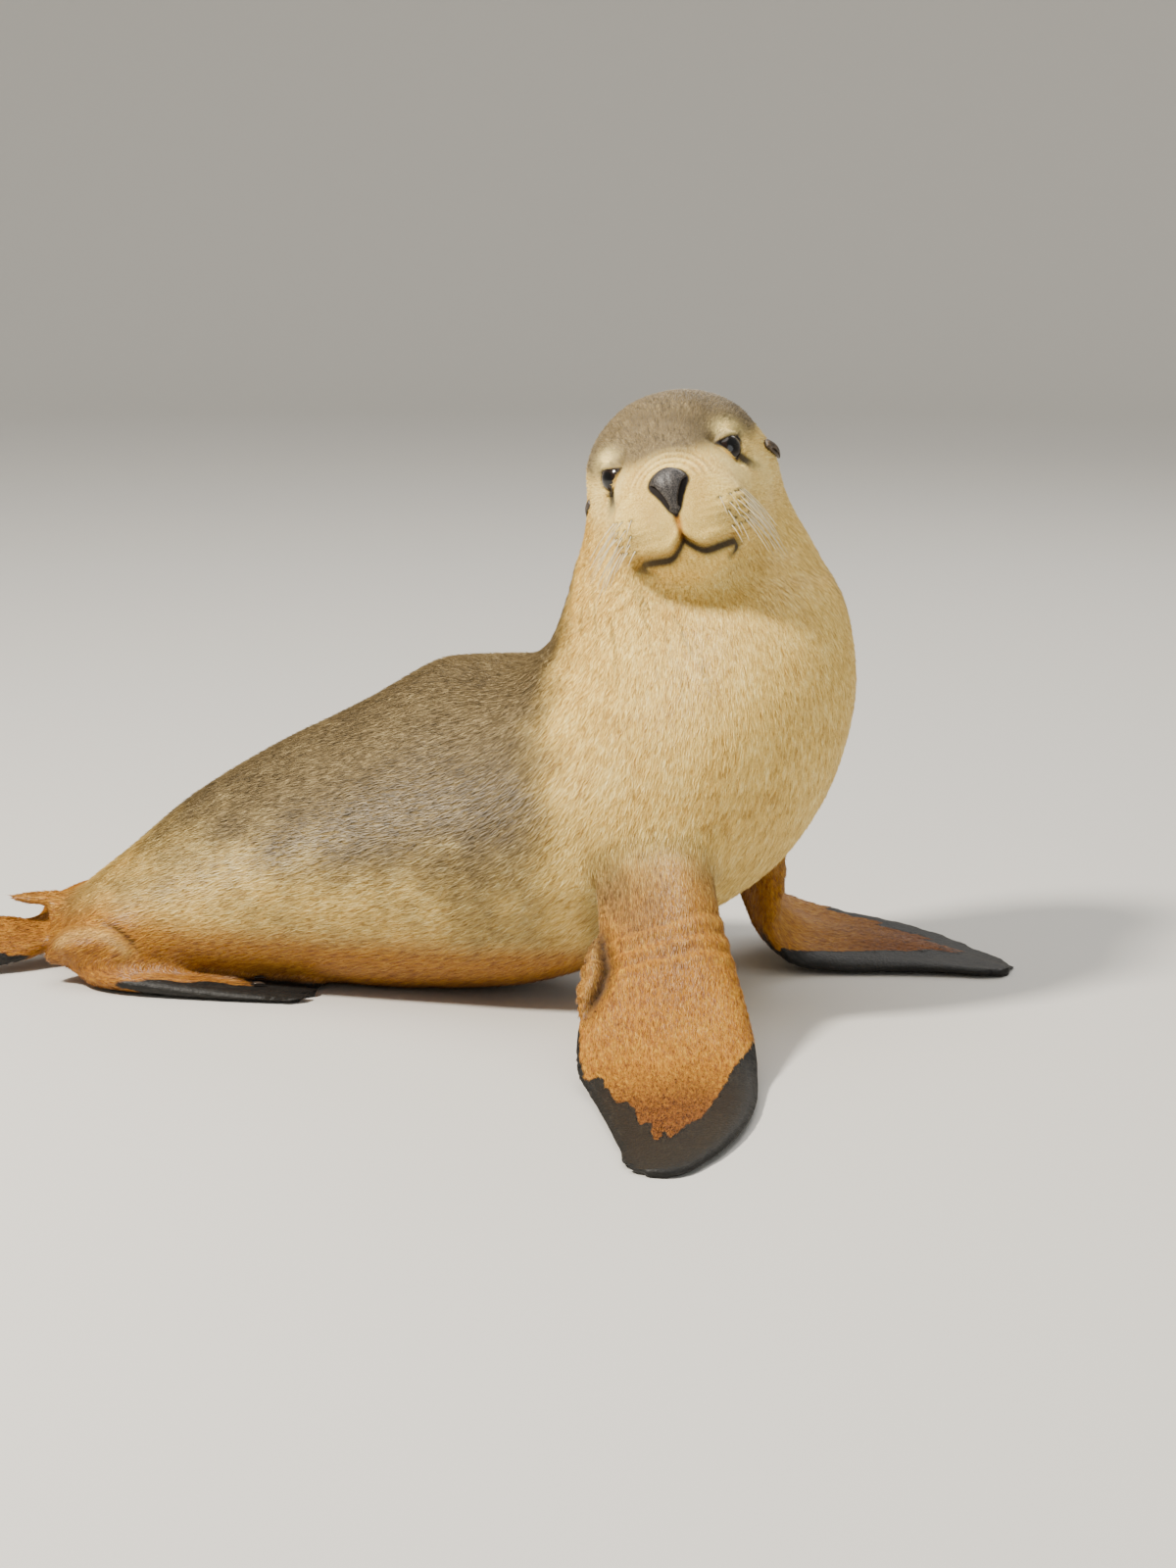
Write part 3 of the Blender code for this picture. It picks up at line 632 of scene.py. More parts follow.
def about_eye(local, side):
    """Place of each point about an eye: distance from its centre, how far it lies in the gaze (1 is straight
    ahead of it), and across and up of the gaze."""
    centre = EYE_AT * (1, side, 1)
    gaze = GAZE * (1, side, 1)
    across = np.cross((0, 0, 1), gaze) * side
    across /= np.linalg.norm(across)
    up = np.cross(gaze, across)
    up *= np.sign(up[2])
    offset = local - centre
    distance = np.linalg.norm(offset, axis=1)
    return distance, offset @ gaze / np.maximum(distance, 1e-6), offset @ across, offset @ up


def opening(across, up):
    """Distance from the edge of the lids' opening, negative between the lids.

    The opening is a triangle with rounded corners and its point below.
    """
    walls = []
    for start, end in zip(LID_CORNERS, np.roll(LID_CORNERS, -1, axis=0)):
        way = (end - start) / np.linalg.norm(end - start)
        walls.append((across - start[0]) * way[1] - (up - start[1]) * way[0])
    walls = np.clip(walls, -0.1, 0.1) / LID_ROUNDING
    return LID_ROUNDING * np.log(np.exp(walls).sum(axis=0))


def near_lids(local):
    """For each eye: whether each point lies on or by its lids, and how far it is from their opening."""
    for side in (1, -1):
        distance, facing, across, up = about_eye(local, side)
        yield (distance < 1.5 * EYE_RADIUS) & (facing > 0.2), opening(across, up)


def close_lids(places):
    """Moves the skin round each eye into lids that wrap the ball, and the skin between them behind it."""
    local = head_local(places)
    for side in (1, -1):
        distance, facing, across, up = about_eye(local, side)
        near = (distance < 1.6 * EYE_RADIUS) & (facing > 0.1)
        gap = opening(across, up)
        lid = EYE_RADIUS + LID_THICKNESS + 0.0008 * bell(gap, 0.0022, 0.0016)
        behind = EYE_RADIUS - 0.003
        open_share = 1 - smoothstep(-0.5 * LID_RIM, 0.5 * LID_RIM, gap)
        wrapped = np.maximum(distance, lid)
        # Near the opening the skin is drawn onto the ball, and it returns to its own place further out.
        held = 1 - smoothstep(0.004, 0.012, gap)
        wrapped = wrapped * (1 - held) + held * lid - 0.0006 * bell(gap, 0.0062, 0.0012)
        target = wrapped * (1 - open_share) + np.minimum(distance, behind) * open_share
        centre = EYE_AT * (1, side, 1)
        moved = centre + (local - centre) * (target / np.maximum(distance, 1e-6))[:, None]
        local[near] = moved[near]
    return head_place(local)


WHISKER_ROWS, WHISKERS_IN_ROW = 5, 7


def follicles():
    """Where whiskers root in the pads: ahead and up of the eyes' midpoint, on either side, with row and place
    in the row."""
    spots = []
    for row in range(WHISKER_ROWS):
        for place in range(WHISKERS_IN_ROW - (row in (0, WHISKER_ROWS - 1))):
            ahead = 0.1000 - 0.0070 * place - 0.0012 * row - 0.0034 * (row % 2)
            up = -0.0475 - 0.0064 * row + 0.0012 * place
            spots.append((ahead, up, row, place))
    return spots


def near_follicles(local):
    """1 at each whisker's root, drawn out along its row, and 0 away from it, for points of the head."""
    spots = np.zeros(len(local))
    pads = np.nonzero((local[:, 0] > 0.04) & (local[:, 2] < -0.03) & (np.abs(local[:, 1]) > 0.010))[0]
    for side in (1, -1):
        pad = pads[local[pads, 1] * side > 0]
        for ahead, up, _, _ in follicles():
            root = local[pad[np.argmin(np.hypot(local[pad, 0] - ahead, local[pad, 2] - up))]]
            spots[pad] += bell(np.linalg.norm((local[pad] - root) / (0.0026, 0.0026, 0.0013), axis=1), 0, 1)
    return np.clip(spots, 0, 1)


# Rolls (+) and grooves (-) beside the line of the mouth: height, how far above the line, and reach.
LIP_ROLLS = (
    (-0.0072, -0.0018, 0.0042), (-0.0030, -0.0006, 0.0016),
    (0.0032, 0.0070, 0.0050), (0.0012, -0.0075, 0.0036),
)


def sculpt_face(survey):
    """How far each point stands out for the lips, the pads, the wrinkles over the nose and the cheeks."""
    ahead, side, up = survey.head.T
    aside = np.abs(side)
    push = np.zeros(len(ahead))
    # The upper lip hangs over the line of the mouth in two lobes, and the lower jaw is set back under it.
    lips = smoothstep(MOUTH_CORNER_AHEAD - 0.006, MOUTH_CORNER_AHEAD + 0.004, ahead)
    line = up - mouth_line(aside)
    for height, above, reach in LIP_ROLLS:
        push += height * lips * bell(line, above, reach)
    push -= 0.0042 * lips * smoothstep(-0.002, -0.012, line) * smoothstep(0.060, 0.090, ahead)
    push -= 0.0045 * bell(ahead, MOUTH_CORNER_AHEAD + 0.003, 0.007) * bell(line, -0.001, 0.0045)
    # The groove from the nose to the lips.
    groove = smoothstep(-0.048, -0.056, up) * smoothstep(-0.082, -0.076, up) * (ahead > 0.08)
    push -= 0.0030 * bell(side, 0, 0.0022) * groove
    # Rows of swellings that hold the whiskers, and a dimple at each root.
    pad = bell(ahead, 0.082, 0.026) * bell(up, -0.060, 0.018) * smoothstep(0.012, 0.024, aside)
    push += 0.0004 * pad * np.cos((up + 0.0475) / 0.0064 * 2 * math.pi)
    push -= 0.0010 * near_follicles(survey.head)
    # Wrinkles that ring the top of the nose, and the hollow below each eye where the tears run.
    push += 0.0012 * nose_wrinkles(survey.head)
    push -= 0.0010 * tear_streak(survey.head)
    return push * survey.share["head"]


WRINKLE_SPACING = 0.0058


def nose_wrinkles(local):
    """Rings above the nose: 1 on a ridge and -1 in a groove."""
    ahead, side, up = local.T
    ring = np.hypot(side, up - NOSE_AT[2])
    top = smoothstep(-0.030, -0.012, up) * (ahead > 0.03)
    band = smoothstep(0.022, 0.026, ring) * smoothstep(0.044, 0.034, ring)
    return top * band * np.sin(ring / WRINKLE_SPACING * 2 * math.pi)


# The streaks that tears leave on the cheeks, by side: where each starts and ends, aside and up of the eyes'
# midpoint.
TEARS = {1: ((0.0575, -0.0060), (0.0740, -0.0250)), -1: ((0.0560, -0.0090), (0.0580, -0.0360))}


def tear_streak(local):
    """A strip that runs from the lower corner of each eye down the cheek."""
    streak = np.zeros(len(local))
    for side, (top, bottom) in TEARS.items():
        top, bottom = np.array(top), np.array(bottom)
        length = np.linalg.norm(bottom - top)
        way = (bottom - top) / length
        offset = np.stack([local[:, 1] * side, local[:, 2]], axis=1) - top
        along = np.clip(offset @ way, 0, length)
        off = np.linalg.norm(offset - along[:, None] * way, axis=1)
        width = 0.0036 + 0.0016 * along / length
        strip = smoothstep(1.5 * width, 0.4 * width, off) * smoothstep(length, 0.35 * length, along)
        streak = np.maximum(streak, strip * smoothstep(-0.030, -0.018, local[:, 0]))
    return streak


# Folds of trunk and neck: share of the body's length, reach along it, the side about which it lies (in
# degrees round the section, 90 is the upper or rear side), how far it spreads from there, and its height.
BODY_FOLDS = (
    (0.905, 0.010, -75, 60, -0.0022), (0.935, 0.009, -80, 55, -0.0026), (0.962, 0.008, -85, 50, -0.0020),
    (0.790, 0.012, 160, 55, -0.0024), (0.640, 0.020, 180, 45, -0.0020),
)
WRIST_CREASES = (0.172, 0.190, 0.206)    # distances along a foreflipper


def sculpt_body(places, survey):
    """How far each point stands out for the folds and the softness of the trunk, neck, flippers and toes."""
    push = np.zeros(len(places))
    body = survey.of["body"]
    angle = np.degrees(np.arctan2(body["rise"], body["side"]))
    for at, reach, middle, spread, height in BODY_FOLDS:
        turned = np.abs((angle - middle + 180) % 360 - 180)
        where = body["along"] - at * FORMS["body"].length + 0.00012 * turned
        fold = height * bell(where, 0, reach)
        push += fold * smoothstep(spread, 0.4 * spread, turned) * survey.share["body"]
    push += 0.0016 * ripple(places, 0.075, 1) * survey.share["body"]
    for side in SIDES:
        form, fore = FORMS["foreflipper_" + side], survey.of["foreflipper_" + side]
        edge = form.lead * fore["side"]
        share = survey.share["foreflipper_" + side]
        # The wrinkled flap behind the armpit, creases across the wrist, and fingers under the blade's skin.
        crease, flap = armpit(fore, form)
        wander = 2.5 * ripple(places, 0.030, 2) * (share > 0.05)
        ridges = 1 - 3 * np.abs(ripple(places, 0.0085, 5))
        push += (0.0058 * flap + 0.0016 * flap * ridges - 0.0052 * crease) * share
        for crease in WRIST_CREASES:
            ring = fore["along"] + 0.012 * edge + 0.002 * wander
            push -= 0.0012 * share * bell(ring, crease, 0.0032) * (fore["up"] > 0)
            push += 0.0008 * share * bell(ring, crease + 0.007, 0.0040) * (fore["up"] > 0)
        blade = smoothstep(0.20, 0.26, fore["along"]) * smoothstep(0.54, 0.45, fore["along"])
        push += 0.0009 * share * blade * np.cos(edge * 2.2 * math.pi) * (fore["up"] > 0)
        hind = survey.of["hindflipper_" + side]
        toes = smoothstep(0.06, 0.12, hind["along"]) * survey.share["hindflipper_" + side]
        push += 0.0016 * toes * toe_height(hind["side"])
    gap, arc = heel_fold(places)
    push += arc * (0.0028 * bell(gap, -0.012, 0.012) - 0.0030 * bell(gap, 0.0040, 0.0040))
    return push


TOES = np.array((-0.80, -0.42, 0.0, 0.42, 0.80))     # across a hind flipper, as shares of half its width


def toe_height(side):
    """Height of the toes across a hind flipper: 1 on a toe's middle and below 0 in the web between two."""
    near = np.min(np.abs(side[:, None] - TOES), axis=1)
    return np.cos(np.clip(near / 0.21, 0, 1) * math.pi) * 0.6 + 0.2


def part_toes(places, survey):
    """Draws the web back between the ends of the toes, so that five flaps stand free."""
    moved = places.copy()
    for side in SIDES:
        name = "hindflipper_" + side
        form, hind = FORMS[name], survey.of[name]
        near = np.min(np.abs(hind["side"][:, None] - TOES), axis=1)
        notch = 0.020 * smoothstep(0.10, 0.20, near) * smoothstep(0.80, 1.0, hind["along"] / form.length)
        moved -= form.forward[hind["section"]] * (notch * survey.share[name])[:, None]
    return moved


SOLE = 0.0003                    # the lowest level of the skin, just above the floor


def sculpt(mesh):
    """Gives the joined skin its folds, lids, lips and toes, and its flats on the floor."""
    places = place_array(mesh)
    survey = Survey(places)
    push = sculpt_body(places, survey) + sculpt_face(survey)
    places = places + normal_array(mesh) * push[:, None]
    places = part_toes(places, survey)
    places = close_lids(places)
    places[:, 2] = np.maximum(places[:, 2], SOLE)
    set_places(mesh, places)


# ---------------------------------------------------------------- markings, lie of the coat and its unwrap

# Where fur gives way to bare skin on a flipper: shares of its length, and how far across it the fur's border
# with the leading and the trailing margin lies (1 is the leading edge, -1 the trailing edge).
BARE_ALONG = (0.455, 0.50, 0.60, 0.68, 0.775, 0.860, 0.90)
LEADING_BORDER = (1.60, 0.98, 0.74, 0.50, 0.34, 0.05, -0.6)
TRAILING_BORDER = (-1.80, -1.02, -0.84, -0.70, -0.50, -0.28, 0.6)
FUR_FINGERS = 0.10               # reach of the fingers of fur into the bare skin, as a share of the length


def flipper_margins(survey, name):
    """How bare each point of a flipper is: its edges, its tip and its underside carry no fur."""
    form, limb = FORMS[name], survey.of[name]
    at, edge = limb["along"] / form.length, limb["side"] * (form.lead or 1)
    palm = smoothstep(0.05, -0.20, limb["rise"]) * smoothstep(0.36, 0.62, at + 0.04 * np.sin(9 * edge))
    if form.lead:
        finger = np.abs(1 - 2 * ((edge * 3.2 + 3.4 * at) % 1))
        rear = at + 0.5 * FUR_FINGERS - FUR_FINGERS * finger * (edge < 0.3)
        front = at + 0.012 * np.sin(11 * edge)
        leading = smoothstep(-0.05, 0.05, edge - np.interp(front, BARE_ALONG, LEADING_BORDER))
        trailing = smoothstep(0.05, -0.05, edge - np.interp(rear, BARE_ALONG, TRAILING_BORDER))
        return np.maximum(np.maximum(leading, trailing), palm)
    border = np.interp(at, (0.10, 0.22, 0.40, 0.55), (1.30, 0.92, 0.62, 0.40))
    sides = smoothstep(-0.10, 0.12, np.abs(edge) - border - 0.05 * np.sin(30 * at))
    tips = smoothstep(0.62, 0.72, at + 0.05 * np.cos(edge * 7.5 * math.pi))
    return np.maximum(np.maximum(sides, tips), palm)


# Patches of the face: ahead, aside and up of the eyes' midpoint, reach along each, and strength.
PALE_PATCHES = (
    ((0.0085, 0.0545, 0.0185), (0.018, 0.013, 0.0090), 1.30),
    ((0.040, 0.047, -0.020), (0.014, 0.012, 0.020), 0.75),
    ((0.022, 0.052, -0.026), (0.020, 0.020, 0.014), 0.75),
    ((-0.010, 0.075, -0.020), (0.014, 0.014, 0.026), 0.80),
    ((0.062, 0.045, -0.040), (0.030, 0.020, 0.012), 0.45),
)
WARM_PATCHES = (
    ((0.096, 0.020, -0.046), (0.016, 0.016, 0.026), 0.50),
    ((0.072, 0.026, -0.014), (0.028, 0.016, 0.020), 0.48),
)
# The pads: grey-brown among the cream hairs, and partly painted shade as under light from above.
PAD_GREY_AND_SHADE_PATCHES = (((0.086, 0.036, -0.064), (0.026, 0.020, 0.014), 0.50),)   # grey-brown among the cream hairs


def patches(local, table):
    """Soft patches that lie alike on both sides of the head."""
    folded = np.stack([local[:, 0], np.abs(local[:, 1]), local[:, 2]], axis=1)
    return sum(strength * np.exp(-(((folded - at) / reach) ** 2).sum(axis=1))
               for at, reach, strength in table)


def fur_marks(survey, height):
    """How cream, tan, rusty and crowned each point is; what is left is the grey-brown back."""
    body, head = survey.of["body"], survey.head
    angle = np.degrees(np.arctan2(body["rise"], body["side"]))
    under = np.abs((angle + 90 + 180) % 360 - 180)       # degrees from the middle of the belly or throat
    at = body["along"] / FORMS["body"].length
    edge = 62 + 60 * smoothstep(0.50, 0.80, at)
    cream_body = smoothstep(edge + 34, edge - 30, under) * smoothstep(0.40, 0.62, at)
    # The flanks grade from the grey-brown of the back to yellow, and low down to an orange tan.
    cream_body = np.maximum(cream_body, 0.62 * smoothstep(0.23, 0.07, height))
    ahead, aside, up = head[:, 0], np.abs(head[:, 1]), head[:, 2]
    rise = up - 0.35 * np.clip(-ahead, 0, 0.1) + 0.12 * np.clip(0.05 - aside, 0, 0.05)
    crown = smoothstep(-0.012, 0.020, rise)
    crown = crown * (0.60 + 0.40 * smoothstep(0.075, 0.045, ahead)) * smoothstep(0.108, 0.088, ahead)
    # The cap runs on down the nape to the back.
    nape = smoothstep(-0.045, -0.075, ahead) * smoothstep(0.064, 0.040, aside) * smoothstep(-0.07, -0.02, up)
    crown = np.maximum(crown, nape)
    # Less cream on the pads: partly their grey-brown fur and partly painted shade.
    pads = patches(head, PAD_GREY_AND_SHADE_PATCHES)
    cream = survey.share["body"] * cream_body + survey.share["head"] * (1 - 0.9 * crown) * (1 - pads)
    low = 0.30 * smoothstep(0.16, 0.06, height) + 0.62 * smoothstep(0.078, 0.040, height)
    hips = survey.shared("hindleg_right", "hindleg_left", "hindflipper_right", "hindflipper_left", "tail")
    tan = survey.share["body"] * low + hips * (0.50 + 0.45 * smoothstep(0.10, 0.05, height))
    cream = cream + 0.4 * hips
    rust = 0.45 * survey.share["body"] * smoothstep(0.055, 0.020, height)
    rust = rust + 0.5 * hips * smoothstep(0.07, 0.03, height)
    for side in SIDES:
        name = "foreflipper_" + side
        limb = survey.of[name]["along"] / FORMS[name].length
        tan += survey.share[name] * (0.34 + 0.60 * smoothstep(0.10, 0.45, limb))
        cream += survey.share[name] * (0.36 - 0.1 * smoothstep(0.10, 0.60, limb))
        rust += 0.85 * survey.share[name] * smoothstep(0.45, 0.80, limb)
    # Warm ochre fur round the nose and in the groove below it.
    groove = bell(head[:, 1], 0, 0.0034) * smoothstep(-0.048, -0.056, up) * smoothstep(-0.080, -0.072, up)
    tan = tan + survey.share["head"] * (patches(head, WARM_PATCHES) + 0.8 * groove * (ahead > 0.08))
    damp = survey.share["body"] * bell(at, 0.865, 0.050) * smoothstep(0.55, 0.80, np.abs(body["side"]))
    crown = crown * survey.share["head"] * smoothstep(-0.06, 0.0, ahead)
    return {"cream": cream, "rust": rust, "tan": tan, "crown": crown, "damp": damp}


def dark_of_face(survey):
    """How dark each point of the head is: tear streaks, lids, whisker roots and the nose's border, and
    painted shade under the lips, in the mouth's corners and in the grooves over the nose.
    """
    head = survey.head
    ahead, aside, up = head[:, 0], np.abs(head[:, 1]), head[:, 2]
    line = up - mouth_line(aside)
    lips = smoothstep(MOUTH_CORNER_AHEAD - 0.004, MOUTH_CORNER_AHEAD + 0.004, ahead)
    # Painted shade in each corner of the mouth, where the lips part.
    corner = bell(ahead, MOUTH_CORNER_AHEAD + 0.008, 0.011) * bell(line, -0.0060, 0.0070)
    border = (head - NOSE_AT) / NOSE_HALF
    border[:, 1] /= np.interp(border[:, 2], NOSE_HEIGHTS, NOSE_WIDTHS)
    layers = [0.95 * tear_streak(head)]
    layers += [smoothstep(0.0034, 0.0012, gap) * near for near, gap in near_lids(head)]
    layers += [
        # Painted shadow under the overhanging lobes of the upper lip, along the line of the mouth.
        lips * np.clip(1.12 * bell(line, -0.0024, 0.0046), 0, 0.96),
        np.clip(1.3 * corner, 0, 0.97) * (aside > 0.03),
        0.94 * near_follicles(head),
        # Painted shade in the grooves between the wrinkles over the nose.
        0.30 * np.clip(-nose_wrinkles(head), 0, 1),
        smoothstep(1.18, 1.02, np.linalg.norm(border, axis=1)) * (ahead > 0.05),
    ]
    return np.max(layers, axis=0) * survey.share["head"]


def markings(survey, places):
    """How strongly each mark shows at each point of the skin, by the mark's name."""
    height = places[:, 2]
    marks = fur_marks(survey, height)
    bare = np.zeros(len(places))
    for side in SIDES:
        for name in ("foreflipper_" + side, "hindflipper_" + side):
            bare += flipper_margins(survey, name) * survey.share[name]
    marks["bare"] = np.maximum(bare, smoothstep(0.006, 0.002, height) * (1 - survey.share["body"]))
    dark = dark_of_face(survey)
    for side in SIDES:
        name = "foreflipper_" + side
        form, fore = FORMS[name], survey.of[name]
        edge = form.lead * fore["side"]
        # Painted shade in the armpit, where the flipper meets the body.
        pit = bell(fore["along"], 0.118, 0.030) * smoothstep(-0.30, -0.60, edge)
        pit = pit * smoothstep(-1.3, -0.9, edge)
        crease, flap = armpit(fore, form)
        dark = np.maximum(dark, 0.35 * pit * survey.shared(name, "body"))
        # Painted shade in the armpit's crease.
        dark = np.maximum(dark, 0.90 * crease * survey.share[name])
        marks["tan"] -= 0.25 * flap * survey.share[name]
    # The heel's fold: painted shadow in the groove in front of its roll, and a painted highlight on the roll.
    gap, arc = heel_fold(places)
    heel = arc * survey.shared("hindleg_right", "body", "hindflipper_right")
    front = smoothstep(0.0, 0.030, places[:, 0] - STANCE[0] - HEEL_AT[0])
    marks["dark"] = np.maximum(dark, 0.75 * front * heel * bell(gap, 0.0055, 0.0032))
    # Pale fur of the face, and painted highlights on the ridges of the nose's wrinkles.
    pale = patches(survey.head, PALE_PATCHES) + 0.5 * np.clip(nose_wrinkles(survey.head), 0, 1)
    marks["pale"] = pale * survey.share["head"] + 0.26 * heel * bell(gap, -0.0035, 0.0050)
    return marks


def lie_of_coat(mesh, survey, places):
    """The way the hairs point at each vertex: nose to tail, and down the limbs."""
    lie = np.zeros((len(places), 3))
    for name, form in FORMS.items():
        section = survey.of[name]["section"]
        if name == "body":
            way = -form.forward[section]
        elif name == "head":
            way = places - head_place(NOSE_AT + np.array((0.01, 0, 0.01)))
            way = way / np.linalg.norm(way, axis=1)[:, None]
        else:
            way = form.forward[section]
        lie += way * survey.share[name][:, None]
    lie = relaxed(lie, edge_array(mesh), 0.5, 12)
    normals = normal_array(mesh)
    lie -= normals * (lie * normals).sum(axis=1)[:, None]
    return lie / np.maximum(np.linalg.norm(lie, axis=1), 1e-6)[:, None]


# Where each form's chart lies in the unwrap's square: left, bottom, width, height. A body chart runs along
# and round the form; a flipper has one sheet for its upper and one for its lower side.
CHARTS = {
    "body": (0.01, 0.40, 0.98, 0.59), "head": (0.01, 0.01, 0.30, 0.37), "tail": (0.92, 0.01, 0.07, 0.06),
    "foreflipper_right": (0.32, 0.01, 0.28, 0.18), "foreflipper_left": (0.32, 0.20, 0.28, 0.18),
    "hindflipper_right": (0.61, 0.01, 0.15, 0.18), "hindflipper_left": (0.61, 0.20, 0.15, 0.18),
    "hindleg_right": (0.77, 0.01, 0.14, 0.18), "hindleg_left": (0.77, 0.20, 0.14, 0.18),
}


def chart_places(name, survey, corners, face_of_corner, faces):
    """The unwrap's coordinates of the given corners, all of which lie in one form's chart."""
    low_x, low_y, wide, tall = CHARTS[name]
    form, found = FORMS[name], survey.of[name]
    if name in ("body", "head"):
        if name == "head":
            along = np.linalg.norm(survey.head[corners] - NOSE_AT, axis=1) / 0.26
        else:
            along = found["along"][corners] / form.length
        turn = np.arctan2(found["side"][corners], found["rise"][corners]) / (2 * math.pi)
        # A face that crosses the seam keeps its corners together, just past the seam.
        first = np.full(faces, -1.0)
        np.maximum.at(first, face_of_corner, turn)
        turn = np.where(first[face_of_corner] - turn > 0.5, turn + 1, turn)
        across = (turn + 0.5) / 1.06
    else:
        along = found["along"][corners] / form.length
        sheet = np.zeros(faces)
        np.add.at(sheet, face_of_corner, found["rise"][corners])
        half = np.clip(found["side"][corners], -1.2, 1.2) / 2.5 + 0.5
        across = 0.49 * half + 0.5 * (sheet[face_of_corner] > 0)
    return np.stack([low_x + wide * np.clip(0.02 + 0.96 * along, 0, 1), low_y + tall * across], axis=1)


def unwrap(mesh, survey):
    """Writes the unwrap of the skin's own shape, chart by chart."""
    corners = read(mesh.loops, "vertex_index", kind=int)
    starts = read(mesh.polygons, "loop_start", kind=int)
    face_of_corner = np.repeat(np.arange(len(starts)), np.diff(np.append(starts, len(corners))))
    face_form = survey.form[corners[starts]]
    result = np.zeros((len(corners), 2))
    for index, name in enumerate(FORM_NAMES):
        chosen = np.nonzero(face_form[face_of_corner] == index)[0]
        result[chosen] = chart_places(name, survey, corners[chosen], face_of_corner[chosen], len(starts))
    layer = mesh.uv_layers.new(name="OFBake")
    layer.data.foreach_set("uv", result.astype(np.float32).ravel())
    return face_form


def write_attribute(mesh, name, values, domain="POINT"):
    values = np.asarray(values, np.float32)
    kind, key = ("FLOAT_VECTOR", "vector") if values.ndim == 2 else ("FLOAT", "value")
    mesh.attributes.new(name, kind, domain).data.foreach_set(key, values.ravel())


# Length of the coat in metres, by form.
COAT_LENGTH = {"body": 0.0070, "head": 0.0046, "tail": 0.0055, "foreflipper_right": 0.0048,
               "foreflipper_left": 0.0048, "hindleg_right": 0.0055, "hindleg_left": 0.0055,
               "hindflipper_right": 0.0042, "hindflipper_left": 0.0042}
SHORTEST_COAT = 0.0024
TUFTS_PER_PIECE = 46000          # at four triangles a tuft a piece stays well under 200,000 triangles


def coat_plan(mesh, survey, marks):
    """Writes the coat's length and density at each vertex, and returns the density."""
    face = survey.share["head"] * smoothstep(-0.01, 0.05, survey.head[:, 0])
    velvet = survey.share["head"] * smoothstep(0.050, 0.080, survey.head[:, 0])
    neck = survey.share["body"] * smoothstep(0.55, 0.85, survey.of["body"]["along"] / FORMS["body"].length)
    length = sum(COAT_LENGTH[name] * survey.share[name] for name in FORM_NAMES)
    for shorter, where in ((0.45, face), (0.30, velvet), (0.26, neck)):
        length = length * (1 - shorter * where)
    density = (1 - smoothstep(0.25, 0.6, marks["bare"])) * (1 - smoothstep(0.40, 0.6, marks["dark"]))
    density = density * (1 - 0.72 * velvet)
    for near, gap in near_lids(survey.head):
        density = density * np.where(near, smoothstep(0.0, 0.0016, gap), 1)
    # Short hairs stand closer, so that they cover the skin as well as long ones.
    density = density * (COAT_LENGTH["body"] / np.maximum(length, SHORTEST_COAT))
    write_attribute(mesh, "coat_length", length)
    write_attribute(mesh, "coat_density", density)
    return density


def share_out(mesh, survey, density, face_form, per_square_metre):
    """Numbers each face with its coat piece, in runs along the body that hold equally many tufts."""
    first = read(mesh.loops, "vertex_index", kind=int)[read(mesh.polygons, "loop_start", kind=int)]
    areas = read(mesh.polygons, "area")
    along = survey.of["body"]["along"][first]
    order = np.argsort(np.where(face_form == FORM_NAMES.index("head"), 10, 0) + along, kind="stable")
    tufts = np.cumsum((areas * density[first] * per_square_metre)[order])
    pieces = int(math.ceil(tufts[-1] / TUFTS_PER_PIECE))
    number = np.empty(len(order), np.int32)
    number[order] = np.minimum(tufts / tufts[-1] * pieces, pieces - 1).astype(np.int32)
    mesh.attributes.new("coat_piece", "INT", "FACE").data.foreach_set("value", number)
    return pieces


# ---------------------------------------------------------------- materials

def linear(colour):
    """A linear RGBA colour from an sRGB hex string such as "#8C7A5B"."""
    parts = [int(colour[i:i + 2], 16) / 255 for i in (1, 3, 5)]
    return (*(p / 12.92 if p <= 0.04045 else ((p + 0.055) / 1.055) ** 2.4 for p in parts), 1.0)


def new_material(name):
    material = bpy.data.materials.new(name)
    material.use_nodes = True
    tree = material.node_tree
    return material, tree, tree.nodes["Principled BSDF"]


